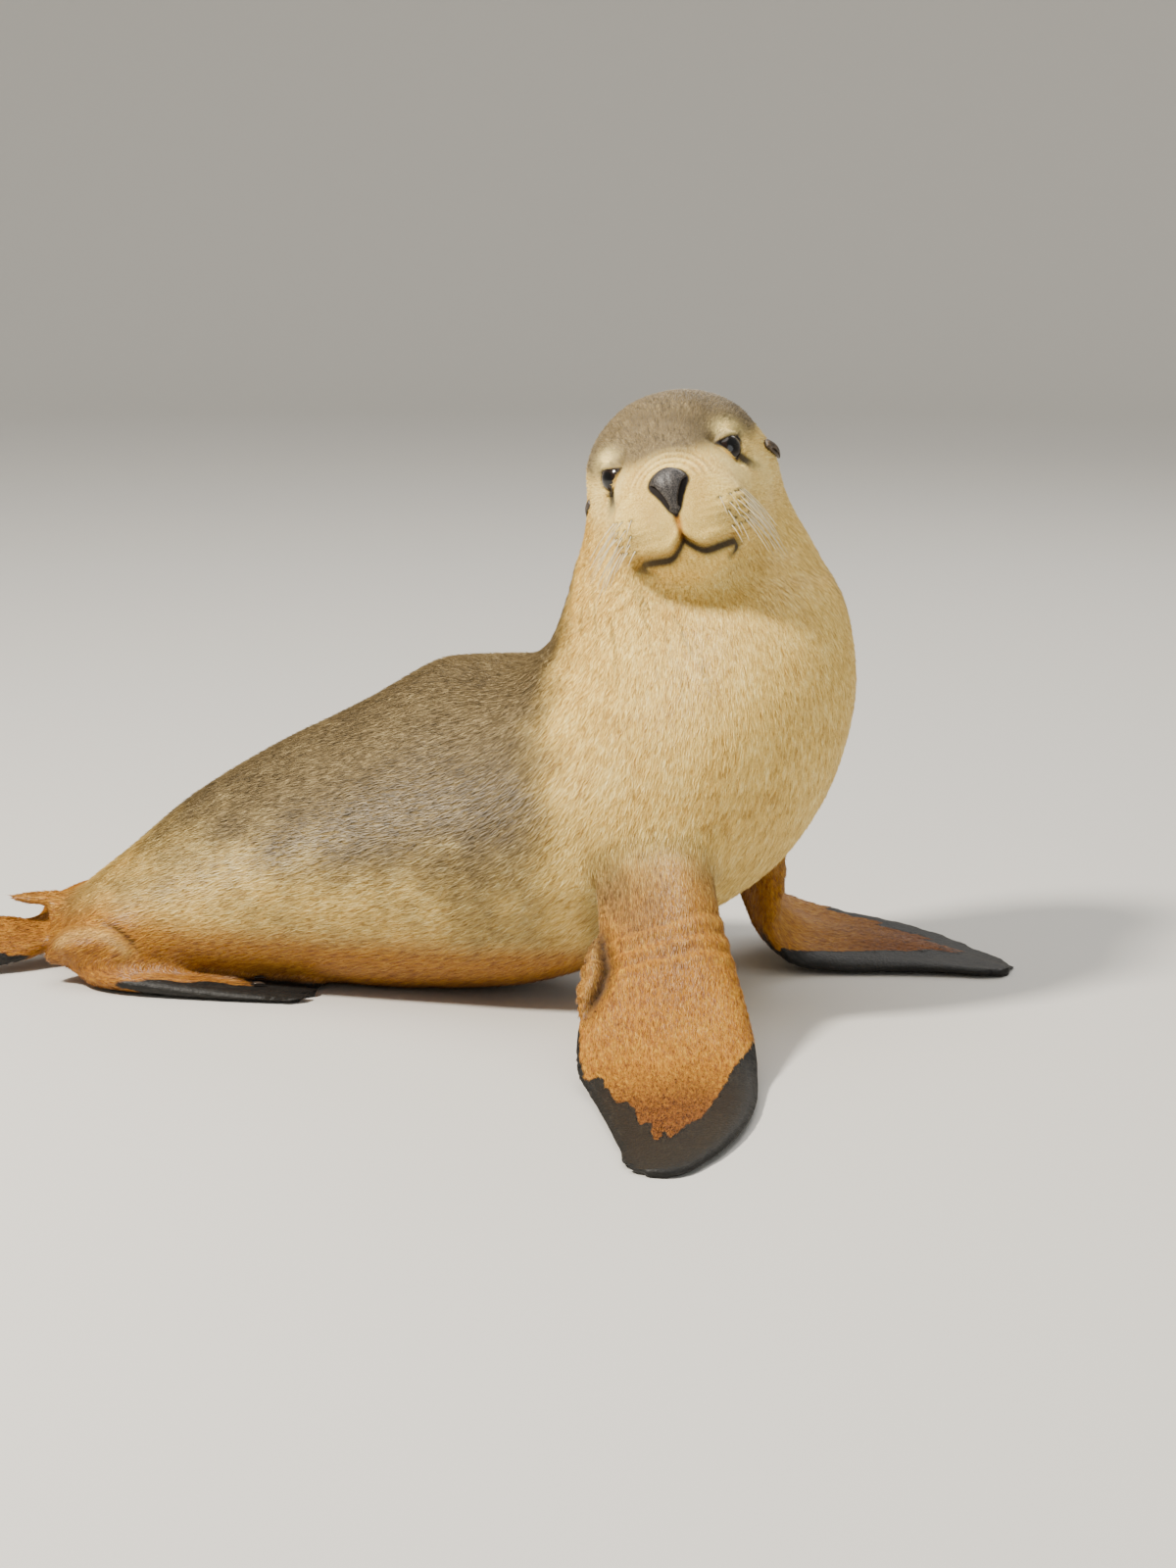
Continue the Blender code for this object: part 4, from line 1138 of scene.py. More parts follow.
# The nodes that are used, by a short name: type, settings, inputs in the order in which they are given, and
# output.
NODES = {
    "add": ("ShaderNodeMath", {"operation": "ADD"}, (0, 1), 0),
    "subtract": ("ShaderNodeMath", {"operation": "SUBTRACT"}, (0, 1), 0),
    "multiply": ("ShaderNodeMath", {"operation": "MULTIPLY"}, (0, 1), 0),
    "divide": ("ShaderNodeMath", {"operation": "DIVIDE"}, (0, 1), 0),
    "larger": ("ShaderNodeMath", {"operation": "MAXIMUM"}, (0, 1), 0),
    "stretch": ("ShaderNodeMapRange", {"interpolation_type": "SMOOTHSTEP"}, (0, 1, 2), 0),
    "taper": ("ShaderNodeMapRange", {}, (0, 3, 4), 0),
    "mix": ("ShaderNodeMix", {"data_type": "FLOAT"}, (0, 2, 3), 0),
    "mix colours": ("ShaderNodeMix", {"data_type": "RGBA"}, (0, 6, 7), 2),
    "colour": ("ShaderNodeCombineColor", {}, (0, 1, 2), 0),
    "vector": ("ShaderNodeCombineXYZ", {}, (0, 1, 2), 0),
    "axes": ("ShaderNodeSeparateXYZ", {}, (0,), 0),
    "add vectors": ("ShaderNodeVectorMath", {"operation": "ADD"}, (0, 1), 0),
    "multiply vectors": ("ShaderNodeVectorMath", {"operation": "MULTIPLY"}, (0, 1), 0),
    "scale": ("ShaderNodeVectorMath", {"operation": "SCALE"}, (0, 3), 0),
    "place": ("ShaderNodeTexCoord", {}, (), "Object"),
    "mark": ("ShaderNodeAttribute", {}, (), "Fac"),
    "vector mark": ("ShaderNodeAttribute", {}, (), "Vector"),
    "noise": ("ShaderNodeTexNoise", {}, ("Vector", "Scale", "Detail", "Roughness"), "Fac"),
    "cells": ("ShaderNodeTexVoronoi", {}, ("Vector", "Scale"), "Distance"),
    "bump": ("ShaderNodeBump", {}, ("Height", "Strength", "Distance"), "Normal"),
    "equal": ("FunctionNodeCompare", {"data_type": "INT", "operation": "EQUAL"}, (2, 3), 0),
    "random": ("FunctionNodeRandomValue", {"data_type": "FLOAT"}, (2, 3, "Seed"), 1),
    "random vector": ("FunctionNodeRandomValue", {"data_type": "FLOAT_VECTOR"}, (0, 1, "Seed"), 0),
    "point along": ("FunctionNodeAlignRotationToVector", {"axis": "Y"}, ("Vector",), 0),
    "roll to": ("FunctionNodeAlignRotationToVector", {"axis": "Z", "pivot_axis": "Y"},
                ("Rotation", "Vector"), 0),
    "position": ("GeometryNodeInputPosition", {}, (), 0),
    "attribute": ("GeometryNodeInputNamedAttribute", {}, ("Name",), 0),
    "vector attribute": ("GeometryNodeInputNamedAttribute", {"data_type": "FLOAT_VECTOR"}, ("Name",), 0),
    "store": ("GeometryNodeStoreNamedAttribute", {}, ("Geometry", "Name", "Value"), "Geometry"),
    "store vector": ("GeometryNodeStoreNamedAttribute", {"data_type": "FLOAT_VECTOR"},
                     ("Geometry", "Name", "Value"), "Geometry"),
    "remove": ("GeometryNodeRemoveAttribute", {}, ("Geometry", "Name"), 0),
    "cone": ("GeometryNodeMeshCone", {"fill_type": "NGON"},
             ("Vertices", "Side Segments", "Fill Segments", "Radius Top", "Radius Bottom", "Depth"), "Mesh"),
    "turn": ("GeometryNodeTransform", {}, ("Geometry", "Rotation"), 0),
    "scatter": ("GeometryNodeDistributePointsOnFaces", {},
                ("Mesh", "Selection", "Density", "Seed"), "Points"),
    "instances": ("GeometryNodeInstanceOnPoints", {}, ("Points", "Instance", "Rotation", "Scale"), 0),
    "move to": ("GeometryNodeSetPosition", {}, ("Geometry", "Position"), 0),
    "spline share": ("GeometryNodeSplineParameter", {}, (), "Factor"),
    "circle": ("GeometryNodeCurvePrimitiveCircle", {"mode": "RADIUS"}, ("Resolution", "Radius"), "Curve"),
    "tube": ("GeometryNodeCurveToMesh", {}, ("Curve", "Profile Curve", "Scale", "Fill Caps"), 0),
    "realise": ("GeometryNodeRealizeInstances", {}, ("Geometry",), 0),
    "set material": ("GeometryNodeSetMaterial", {}, ("Geometry", "Material"), 0),
}


def set_sockets(tree, node, values):
    """Gives inputs of a node their values: numbers, hex colours or other nodes' outputs."""
    for key, value in values.items():
        if isinstance(value, bpy.types.NodeSocket):
            tree.links.new(value, node.inputs[key])
        elif isinstance(value, str) and value.startswith("#"):
            node.inputs[key].default_value = linear(value)
        else:
            node.inputs[key].default_value = value


def add_node(tree, kind, *values, **settings):
    """Adds a node with its settings, gives values to its inputs in the table's order, returns its output."""
    node_type, fixed, inputs, output = NODES[kind]
    node = tree.nodes.new(node_type)
    for name, value in {**fixed, **settings}.items():
        setattr(node, name, value)
    set_sockets(tree, node, dict(zip(inputs, values)))
    return node.outputs[output]


# Colours of the animal: each fur from its dark speckles to its light ones.
FUR_BACK = ("#4C3F24", "#746240", "#9A8860")
FUR_CREAM = ("#BE9440", "#E8C66A", "#FBE698")
FUR_TAN = ("#7E480B", "#AA7118", "#C0902E")
FUR_RUST = ("#4A2404", "#74400A", "#905A16")
# Pale fur, and the colour of painted highlights on the nose's wrinkles and the heel's roll.
PALE_FUR_AND_HIGHLIGHT = "#FAE396"
CROWN_MOTTLE = "#4C4029"
DAMP_HAIR = "#6A5228"
BARE_SKIN = ("#0B0A09", "#151412", "#262420")
# Dark skin, and the colour of painted shade in the mouth, the armpits, the nose's grooves and the heel's
# fold.
DARK_SKIN_AND_SHADE = "#1B1412"


# Noises that skin and tufts share, so that their markings meet: scale, detail and roughness.
SPECKLE = (1 / 0.0026, 3.0, 0.7)
MOTTLE = (1 / 0.042, 4.0, 0.55)
# The furs that lie over the back's, in order: their mark, how strong it is where the fur begins, and colours.
FURS = (("cream", 0.15, FUR_CREAM), ("tan", 0.10, FUR_TAN), ("rust", 0.10, FUR_RUST))


def three(tree, share, colours):
    """A colour that runs through three as the share runs from 0 to 1."""
    node = partial(add_node, tree)
    lower = node("mix colours", node("stretch", share, 0.0, 0.5), colours[0], colours[1])
    return node("mix colours", node("stretch", share, 0.5, 1.0), lower, colours[2])


def marked_colour(tree, grain, speckle, mottle):
    """The animal's markings from the marks on the mesh, with speckles and mottling, and the painted shade and
    painted highlights that its dark and pale marks carry; also how bare it is.
    """
    node = partial(add_node, tree)
    mixture = node("add", node("multiply", speckle, 0.82), node("multiply", mottle, 0.18))
    mixture = node("stretch", mixture, 0.28, 0.74)
    wander = node("multiply", node("subtract", mottle, 0.5), 0.6)
    colour = three(tree, mixture, FUR_BACK)
    for name, low, fur in FURS:
        share = node("stretch", node("add", node("mark", attribute_name=name), wander), low, 0.95)
        colour = node("mix colours", share, colour, three(tree, mixture, fur))
    # The pale mark: pale fur of the face, and painted highlights.
    pale = node("multiply", node("mark", attribute_name="pale"), 0.85, use_clamp=True)
    colour = node("mix colours", pale, colour, PALE_FUR_AND_HIGHLIGHT)
    patches = node("stretch", node("add", mottle, node("multiply", speckle, 0.6)), 0.80, 1.0)
    crown = node("multiply", patches, node("mark", attribute_name="crown"))
    colour = node("mix colours", node("multiply", crown, 0.7), colour, CROWN_MOTTLE)
    drawn_out = node("multiply vectors", grain, (0.12, 1, 1))
    streaks = node("stretch", node("noise", drawn_out, 1 / 0.0060, 1.0, 0.55), 0.56, 0.66)
    damp = node("multiply", streaks, node("mark", attribute_name="damp"))
    colour = node("mix colours", node("multiply", damp, 0.55), colour, DAMP_HAIR)
    bare = node("add", node("mark", attribute_name="bare"), node("multiply", wander, 0.5))
    bare = node("stretch", bare, 0.35, 0.65)
    colour = node("mix colours", bare, colour, three(tree, mixture, BARE_SKIN))
    # The dark mark: dark skin of lids, tear streaks, whisker roots and the nose's border, and painted shade.
    colour = node("mix colours", node("mark", attribute_name="dark"), colour, DARK_SKIN_AND_SHADE)
    return colour, bare


def skin_material():
    """Seal hide under short, flat guard hairs: matt, with fine streaks along the hairs where it is furred,
    and bare, wrinkled, slightly waxy leather on the margins and soles of the flippers."""
    material, tree, shader = new_material("Sea lion hide")
    node = partial(add_node, tree)
    place = node("place")
    grain = node("vector mark", attribute_name="grain")
    hairs = node("noise", grain, 1 / 0.0016, 2.0, 0.55)  # hair tips 1.6 mm apart, coarser than real hair
    speckle = node("noise", grain, *SPECKLE)
    mottle = node("noise", place, *MOTTLE)
    colour, bare = marked_colour(tree, grain, speckle, mottle)
    pebble = node("cells", place, 1 / 0.0024)
    wrinkle = node("noise", place, 1 / 0.008, 4.0, 0.65)
    leather = node("add", node("multiply", pebble, 0.35), wrinkle)
    height = node("mix", bare, hairs, leather)
    set_sockets(tree, shader, {
        "Base Color": colour,
        "Normal": node("bump", height, 0.55, 0.0012),
        "Roughness": node("mix", bare, 0.72, 0.55),
        "Sheen Weight": 0.03,
        "Sheen Roughness": 0.45,
        "Specular IOR Level": 0.30,
    })
    return material


def hair_material():
    """Short guard hairs of a seal: flat, slightly waxy spears that catch the light along their length."""
    material, tree, shader = new_material("Sea lion guard hair")
    node = partial(add_node, tree)
    place = node("place")
    grain = node("vector mark", attribute_name="grain")
    speckle = node("noise", grain, *SPECKLE)
    mottle = node("noise", place, *MOTTLE)
    shade = node("mark", attribute_name="shade")
    tone = node("add", node("multiply", shade, 0.24), node("multiply", speckle, 0.78))
    colour, _ = marked_colour(tree, grain, tone, mottle)
    light = node("add", 0.92, node("multiply", shade, 0.12))
    tips = node("multiply", node("mark", attribute_name="tip"), 0.10)
    light = node("multiply", light, node("add", 0.94, tips))
    grey = node("colour", light, light, light)
    lit = node("mix colours", 1.0, colour, grey, blend_type="MULTIPLY")
    set_sockets(tree, shader, {"Base Color": lit, "Roughness": 0.5, "Sheen Weight": 0.1})
    return material


def leather_material(name, dark, light, cell, depth):
    """Bare, pebbled leather such as a seal's nose: nearly black and moist, with painted highlights on its
    pebbles' tops and painted shade in the crevices between them.
    """
    material, tree, shader = new_material(name)
    node = partial(add_node, tree)
    place = node("place")
    pebble = node("cells", place, 1 / cell)
    uneven = node("multiply", node("noise", place, 1 / 0.006, 3.0, 0.55), 0.6)
    # Lighter on the pebbles' tops as a painted highlight, darker in the crevices as painted shade.
    tone = node("add", node("multiply", pebble, 0.6), uneven)
    set_sockets(tree, shader, {
        "Base Color": node("mix colours", node("stretch", tone, 0.2, 0.8), light, dark),
        "Normal": node("bump", pebble, 0.5, depth, invert=True),
        "Roughness": node("mix", tone, 0.34, 0.55),
    })
    return material


# The eye, by degrees from the pupil's middle: where the pupil ends and the iris is whole, and for the iris's
# dark ring and the rim of the ball where each begins and is whole.
PUPIL = "#020202"
IRIS = ("#120A07", "#24160D")
IRIS_FROM = (17, 21)
EYE_RINGS = ((36, 42, "#0B0706"), (50, 62, "#1F1512"))


def eye_material():
    """A wet eye: a black pupil in a very dark brown iris, with a darker ring, under a clear cornea."""
    material, tree, shader = new_material("Wet eye")
    node = partial(add_node, tree)
    ring = node("mark", attribute_name="ring")
    streaks = node("noise", node("place"), 1 / 0.0012, 3.0, 0.55)
    iris = node("mix colours", streaks, *IRIS)
    colour = node("mix colours", node("stretch", ring, *IRIS_FROM), PUPIL, iris)
    for begins, whole, tint in EYE_RINGS:
        colour = node("mix colours", node("stretch", ring, begins, whole), colour, tint)
    set_sockets(tree, shader, {
        "Base Color": colour, "Roughness": 0.16, "Coat Weight": 0.35, "Coat Roughness": 0.05, "IOR": 1.38,
    })
    return material


def keratin_material(name, dark, light, size):
    """Horn of whiskers and nails: smooth, slightly waxy, paler in streaks."""
    material, tree, shader = new_material(name)
    node = partial(add_node, tree)
    streaks = node("noise", node("place"), 1 / size, 2.0, 0.55)
    set_sockets(tree, shader, {"Base Color": node("mix colours", streaks, dark, light), "Roughness": 0.38})
    return material


# ---------------------------------------------------------------- the coat's tufts, by Geometry Nodes

def new_group(name, inputs):
    """A Geometry Nodes group from geometry to geometry with named inputs; returns it and the inputs."""
    tree = bpy.data.node_groups.new(name, "GeometryNodeTree")
    tree.interface.new_socket("Geometry", in_out="INPUT", socket_type="NodeSocketGeometry")
    for title, default in inputs.items():
        kind = "NodeSocketInt" if isinstance(default, int) else "NodeSocketFloat"
        tree.interface.new_socket(title, in_out="INPUT", socket_type=kind).default_value = default
    tree.interface.new_socket("Geometry", in_out="OUTPUT", socket_type="NodeSocketGeometry")
    return tree, tree.nodes.new("NodeGroupInput").outputs


SLIMMEST_TUFT = 0.0006


def coat_tree(material):
    """Scatters tufts over a surface that carries the coat's lie, length and density.

    A tuft is a closed three-sided spear. It lies along the coat with its root just below the skin.
    """
    tree, given = new_group("Short flat coat", {
        "Tufts per square metre": 2.6e5, "Tuft width": 0.0012, "Tuft height": 0.0007, "Lift": 0.16,
        "Ruffle": 0.22, "Patch": 0.003, "Piece": 0, "Seed": 7,
    })
    node = partial(add_node, tree)

    # One tuft: along +Y from 0 to 1, one wide and one high.
    spear = node("cone", 3, 1, 1, 0.0, 0.58, 1.0)
    lying = node("turn", spear, (-math.pi / 2, 0, 0))
    spot = node("axes", node("position")).node.outputs
    tuft = node("store", lying, "tip", spot["Y"])
    tuft = node("store vector", tuft, "patch", node("vector", spot["X"], spot["Y"], 0.0))

    own = node("equal", node("attribute", "coat_piece", data_type="INT"), given["Piece"])
    density = node("multiply", node("attribute", "coat_density"), given["Tufts per square metre"])
    scattered = node("scatter", given["Geometry"], own, density, given["Seed"])
    normal = scattered.node.outputs["Normal"]
    roots = node("store vector", scattered, "root_uv", node("vector attribute", "OFBake"))
    roots = node("store", roots, "shade", node("random", 0.0, 1.0, node("add", given["Seed"], 3.0)))

    # The tuft points along the coat's lie, a little ruffled and lifted off the skin.
    ruffled = node("random vector", (-1, -1, -1), (1, 1, 1), node("add", given["Seed"], 5.0))
    ruffled = node("scale", ruffled, given["Ruffle"])
    lifted = node("scale", normal, given["Lift"])
    way = node("add vectors", node("vector attribute", "lie"), ruffled)
    way = node("add vectors", way, lifted)
    turned = node("roll to", node("point along", way), normal)
    uneven = node("random", 0.7, 1.25, node("add", given["Seed"], 9.0))
    length = node("multiply", node("attribute", "coat_length"), uneven)
    share = node("divide", length, COAT_LENGTH["body"])
    slim = node("larger", node("multiply", share, given["Tuft width"]), SLIMMEST_TUFT)
    low = node("multiply", share, given["Tuft height"])
    grown = node("instances", roots, tuft, turned, node("vector", slim, length, low))
    meshes = node("realise", grown)

    # Each tuft is a small patch of the unwrap at its root's place.
    patch = node("scale", node("vector attribute", "patch"), given["Patch"])
    chart_at = node("add vectors", node("vector attribute", "root_uv"), patch)
    meshes = node("store", meshes, "OFBake", chart_at, data_type="FLOAT2", domain="CORNER")
    at = node("axes", node("position")).node.outputs
    above = node("vector", at["X"], at["Y"], node("larger", at["Z"], SOLE))
    meshes = node("move to", meshes, above)
    for spare in ("root_uv", "patch", "coat_length", "coat_density", "lie"):
        meshes = node("remove", meshes, spare)
    meshes = node("set material", meshes, material)
    tree.links.new(meshes, tree.nodes.new("NodeGroupOutput").inputs["Geometry"])
    return tree


def set_inputs(modifier, values):
    """Sets a Geometry Nodes modifier's inputs by the names of their sockets."""
    for item in modifier.node_group.interface.items_tree:
        if item.in_out == "INPUT" and item.name in values:
            modifier[item.identifier] = values[item.name]


# ---------------------------------------------------------------- pieces

GRAIN_STRETCH = 3                # how much longer than wide the speckles of the fur are


def make_skin(settings):
    """The skin: joined, refined, sculpted, marked and unwrapped. Returns it and the number of coat pieces."""
    mesh = joined_forms(80, settings.skin_grain)
    fill_joins(mesh, Survey(place_array(mesh)))
    fit_flippers(mesh)
    refine(mesh, fine_zone, 2)
    sculpt(mesh)
    mesh.shade_smooth()
    places = place_array(mesh)
    survey = Survey(places)
    marks = markings(survey, places)
    for name, values in marks.items():
        write_attribute(mesh, name, values)
    grain = np.zeros((len(places), 3))
    for index, name in enumerate(FORM_NAMES):
        chosen = survey.form == index
        found = survey.of[name]
        along = found["along"] if name != "head" else np.linalg.norm(survey.head - NOSE_AT, axis=1)
        across, up = found["side"] * FORMS[name].wide.mean(), found["rise"] * FORMS[name].rise.mean()
        grain[chosen] = np.stack([along / GRAIN_STRETCH, across, up], axis=1)[chosen]
    write_attribute(mesh, "grain", grain)
    write_attribute(mesh, "lie", lie_of_coat(mesh, survey, places))
    face_form = unwrap(mesh, survey)
    density = coat_plan(mesh, survey, marks)
    pieces = share_out(mesh, survey, density, face_form, settings.tufts * 1e4)
    return add_object("skin", mesh), pieces


def make_coat(skin, number, tree, settings):
    """One piece of the coat, grown from the faces of the skin that bear its number."""
    obj = add_object(f"coat_{number + 1}", skin.data.copy())
    modifier = obj.modifiers.new("tufts", "NODES")
    modifier.node_group = tree
    set_inputs(modifier, {"Tufts per square metre": settings.tufts * 1e4, "Tuft width": settings.tuft_width,
                          "Tuft height": 0.6 * settings.tuft_width, "Lift": settings.lift, "Piece": number,
                          "Seed": 11 + number})
    return add_object(f"coat_{number + 1}", taken_mesh(obj, f"coat_{number + 1}"))


def closed_mesh(name, built):
    """A mesh from a bmesh, with its faces turned outward and shaded smooth."""
    bmesh.ops.recalc_face_normals(built, faces=built.faces[:])
    mesh = bpy.data.meshes.new(name)
    built.to_mesh(mesh)
    built.free()
    mesh.shade_smooth()
    return mesh


def ball_mesh(name, segments, rings, shape):
    """A closed ball whose unit directions the shape function turns into places."""
    built = bmesh.new()
    bmesh.ops.create_uvsphere(built, u_segments=segments, v_segments=rings, radius=1.0)
    places = shape(np.array([vert.co for vert in built.verts]))
    for vert, place in zip(built.verts, places):
        vert.co = place
    return closed_mesh(name, built)


def make_eye(name, side):
    """An eyeball that looks out between the lids, with a slight bulge over the iris."""
    gaze = GAZE * (1, side, 1)
    angles = {}

    def shape(unit):
        facing = unit @ gaze
        angles["ring"] = np.degrees(np.arccos(np.clip(facing, -1, 1)))
        bulge = 0.0009 * np.exp(-(angles["ring"] / 34) ** 4)
        return head_place(EYE_AT * (1, side, 1) + unit * (EYE_RADIUS - 0.0003 + bulge)[:, None])

    mesh = ball_mesh(name, 64, 48, shape)
    write_attribute(mesh, "ring", angles["ring"])
    return add_object(name, mesh)


def make_nose(name):
    """The nose leather: broad above, narrow below, with a groove down its middle and a comma-shaped nostril
    low on each side."""
    def shape(unit):
        x, y, z = unit.T
        # Broad wings above, and a narrow column between the nostrils below.
        width = np.interp(z, NOSE_HEIGHTS, NOSE_WIDTHS)
        front = np.maximum(x, 0)
        push = 1 - 0.05 * front * np.exp(-(y / 0.10) ** 2)
        for side in (1, -1):
            # The nostril's slit: it starts low beside the column and curls out and up under the wing.
            t = np.clip((z + 0.55) / 0.90, 0, 1)
            middle = side * (0.58 + 0.34 * t)
            slit = np.exp(-((y - middle) / 0.15) ** 2) * smoothstep(-0.72, -0.50, z)
            slit = slit * smoothstep(0.46, 0.26, z) * (x > -0.2)
            push = push - 0.50 * slit
        local = np.stack([x * push, y * width * push, z], axis=1) * NOSE_HALF + NOSE_AT
        return head_place(local)

    return add_object(name, ball_mesh(name, 96, 72, shape))


# The ears: root and tip ahead, aside and up of the eyes' midpoint, and half the width and thickness.
EAR_ROOT, EAR_TIP = np.array((-0.034, 0.0830, 0.0020)), np.array((-0.065, 0.0895, -0.0105))
EAR_WIDTH, EAR_THICKNESS = 0.0052, 0.0036
EAR_SHIFT = {1: (0.0, 0.0, 0.0), -1: (0.006, -0.003, -0.0110)}   # the head's tilt draws the right ear down


def make_ear(name, side):
    """A small rolled ear: a pointed cone that lies back along the head, slit open along its lower side."""
    along = (EAR_TIP - EAR_ROOT) / np.linalg.norm(EAR_TIP - EAR_ROOT)
    out = np.cross(along, (0, 0, 1))
    out *= np.sign(out[1]) / np.linalg.norm(out)
    up = np.cross(along, out)
    up *= np.sign(up[2])

    def shape(unit):
        t = (1 - unit[:, 0]) / 2                         # 0 at the root, 1 at the tip
        taper = np.sqrt(np.clip(1 - t ** 2.0, 0.015, 1)) * (0.80 + 0.25 * np.sin(math.pi * t))
        angle = np.arctan2(unit[:, 2], unit[:, 1])
        # The leaf's two edges roll in and meet low on the outer side.
        slit = bell((angle + 0.9 + math.pi) % (2 * math.pi) - math.pi, 0, 0.30) * smoothstep(0.08, 0.30, t)
        radius = np.hypot(unit[:, 1], unit[:, 2])
        radius = radius / np.sqrt(np.clip(1 - unit[:, 0] ** 2, 0.0004, 1)) * taper * (1 - 0.62 * slit)
        flat = (np.outer(np.cos(angle) * radius * EAR_THICKNESS, out)
                + np.outer(np.sin(angle) * radius * EAR_WIDTH, up))
        droop = np.outer(0.0022 * np.sin(math.pi * t), out)
        local = EAR_ROOT + np.outer(t, EAR_TIP - EAR_ROOT) + flat * (np.abs(unit[:, :1]) < 0.9999) + droop
        return head_place((local + EAR_SHIFT[side]) * (1, side, 1))

    return add_object(name, ball_mesh(name, 48, 40, shape))


def whisker_tree(material):
    """Turns curves into tapered whiskers."""
    tree, given = new_group("Tapered whiskers", {"Root radius": 0.00060, "Tip radius": 0.00016})
    node = partial(add_node, tree)
    radius = node("taper", node("spline share"), given["Root radius"], given["Tip radius"])
    mesh = node("tube", given["Geometry"], node("circle", 5, 1.0), radius, True)
    mesh = node("set material", node("realise", mesh), material)
    tree.links.new(mesh, tree.nodes.new("NodeGroupOutput").inputs["Geometry"])
    return tree


def skin_finder(skin):
    """A search tree over the skin, for setting small pieces on it."""
    triangles = read(skin.data.loops, "vertex_index", kind=int).reshape(-1, 3)
    return BVHTree.FromPolygons(place_array(skin.data).tolist(), triangles.tolist())


WHISKER_POINTS = 9
WHISKER_SAG = 0.30               # how far a whisker's tip hangs, as a share of its length
WHISKER_DEPTH = 0.04             # how far its root lies in the pad, as a share of its length


def make_whiskers(name, side, finder, settings, material):
    """The whiskers of one pad: short at the front, longer behind, sweeping out, back and down."""
    curve = bpy.data.curves.new(name, "CURVE")
    curve.dimensions = "3D"
    chance = np.random.default_rng(5 if side > 0 else 6)
    for ahead, up, row, place in follicles():
        outward = np.array((0.30 - 0.05 * place, side * 1.0, -0.20 - 0.08 * row))
        outward /= np.linalg.norm(outward)
        start = head_place(np.array((ahead - 0.01, 0.0, up)) + outward * (0.1, 0.12, 0.0))
        inward = head_place(np.array((ahead - 0.01, 0.0, up))) - start
        root, normal, _, _ = finder.ray_cast(Vector(start), Vector(inward))
        if root is None:
            raise RuntimeError(f"no skin under whisker {row}, {place} of {name}")
        length = settings.whisker_length * (0.30 + 0.12 * place) * chance.uniform(0.75, 1.1)
        way = np.array(normal) * 0.50 + HEAD_FRAME[1] * side * 0.30 - HEAD_FRAME[0] * (0.02 + 0.06 * place)
        way = way - np.array((0, 0, 0.80)) + chance.normal(0, 0.07, 3)
        way /= np.linalg.norm(way)
        spline = curve.splines.new("POLY")
        spline.points.add(WHISKER_POINTS - 1)
        for i in range(WHISKER_POINTS):
            t = i / (WHISKER_POINTS - 1)
            sag = np.array((0, 0, 1)) * length * WHISKER_SAG * t ** 2
            spline.points[i].co = (*(np.array(root) + way * length * (t - WHISKER_DEPTH) - sag), 1)
    obj = add_object(name, curve)
    modifier = obj.modifiers.new("thickness", "NODES")
    modifier.node_group = whisker_tree(material)
    return add_object(name, taken_mesh(obj, name))


# The nails of a hind flipper: share of its length, length, half the width, and thickness as a share of width.
NAILS_AT, NAIL_LENGTH, NAIL_HALF_WIDTH, NAIL_FLATNESS = 0.74, 0.011, 0.0024, 0.55
NAIL_SIDES, NAIL_RINGS = 10, 8


def make_claws(name, side):
    """The nails on a hind flipper's three middle toes, set well behind the ends of its flaps."""
    form = FORMS["hindflipper_" + side]
    section = int(NAILS_AT * len(form.centre))
    verts, faces = [], []
    for toe in TOES[1:4]:
        lift = (form.rise[section] - COAT_DEPTH[form.kind]) * math.sqrt(1 - toe ** 2) + 0.0008
        root = form.centre[section] + form.left[section] * toe * form.wide[section] + form.up[section] * lift
        normal, forward = form.up[section], form.forward[section]
        left = np.cross(normal, forward)
        rings = []
        for t in np.linspace(0, 1, NAIL_RINGS):
            size = NAIL_HALF_WIDTH * math.sqrt(1 - 0.97 * t ** 2)
            arch = 0.0007 + 0.0010 * math.sin(math.pi * t)
            at = root + forward * (NAIL_LENGTH * t - 0.002) + normal * arch
            angle = np.arange(NAIL_SIDES) * math.pi / (NAIL_SIDES / 2)
            rings.append(at + np.outer(np.cos(angle) * size, left)
                         + np.outer(np.sin(angle) * NAIL_FLATNESS * size, normal))
        rings = np.array(rings)
        rings[:, :, 2] = np.maximum(rings[:, :, 2], SOLE)
        add_tube(verts, faces, rings)
    tubes = bpy.data.meshes.new("tubes")
    tubes.from_pydata(verts, [], faces)
    built = bmesh.new()
    built.from_mesh(tubes)
    bpy.data.meshes.remove(tubes)
    return add_object(name, closed_mesh(name, built))


# ---------------------------------------------------------------- the add-on

class SeaLionSettings(bpy.types.PropertyGroup):
    """Sizes of the coat and small parts that a user would change."""
    skin_grain: FloatProperty(name="Skin grain", default=0.0048, min=0.002, max=0.02, unit="LENGTH",
                              description="Size of the cells that join the forms of the body")
    tufts: FloatProperty(name="Tufts", description="Tufts of fur on a square centimetre of the back",
                         default=29.0, min=1.0, max=60.0)
    tuft_width: FloatProperty(name="Tuft width", description="Width of a tuft of fur at its root on the back",
                              default=0.0010, min=0.0003, max=0.005, unit="LENGTH")
    lift: FloatProperty(name="Lift", description="How steeply the tufts rise from the skin", default=0.12,
                        min=0.0, max=1.0)
    whisker_length: FloatProperty(name="Whisker length", description="Length of the longest whiskers",
                                  default=0.046, min=0.01, max=0.2, unit="LENGTH")


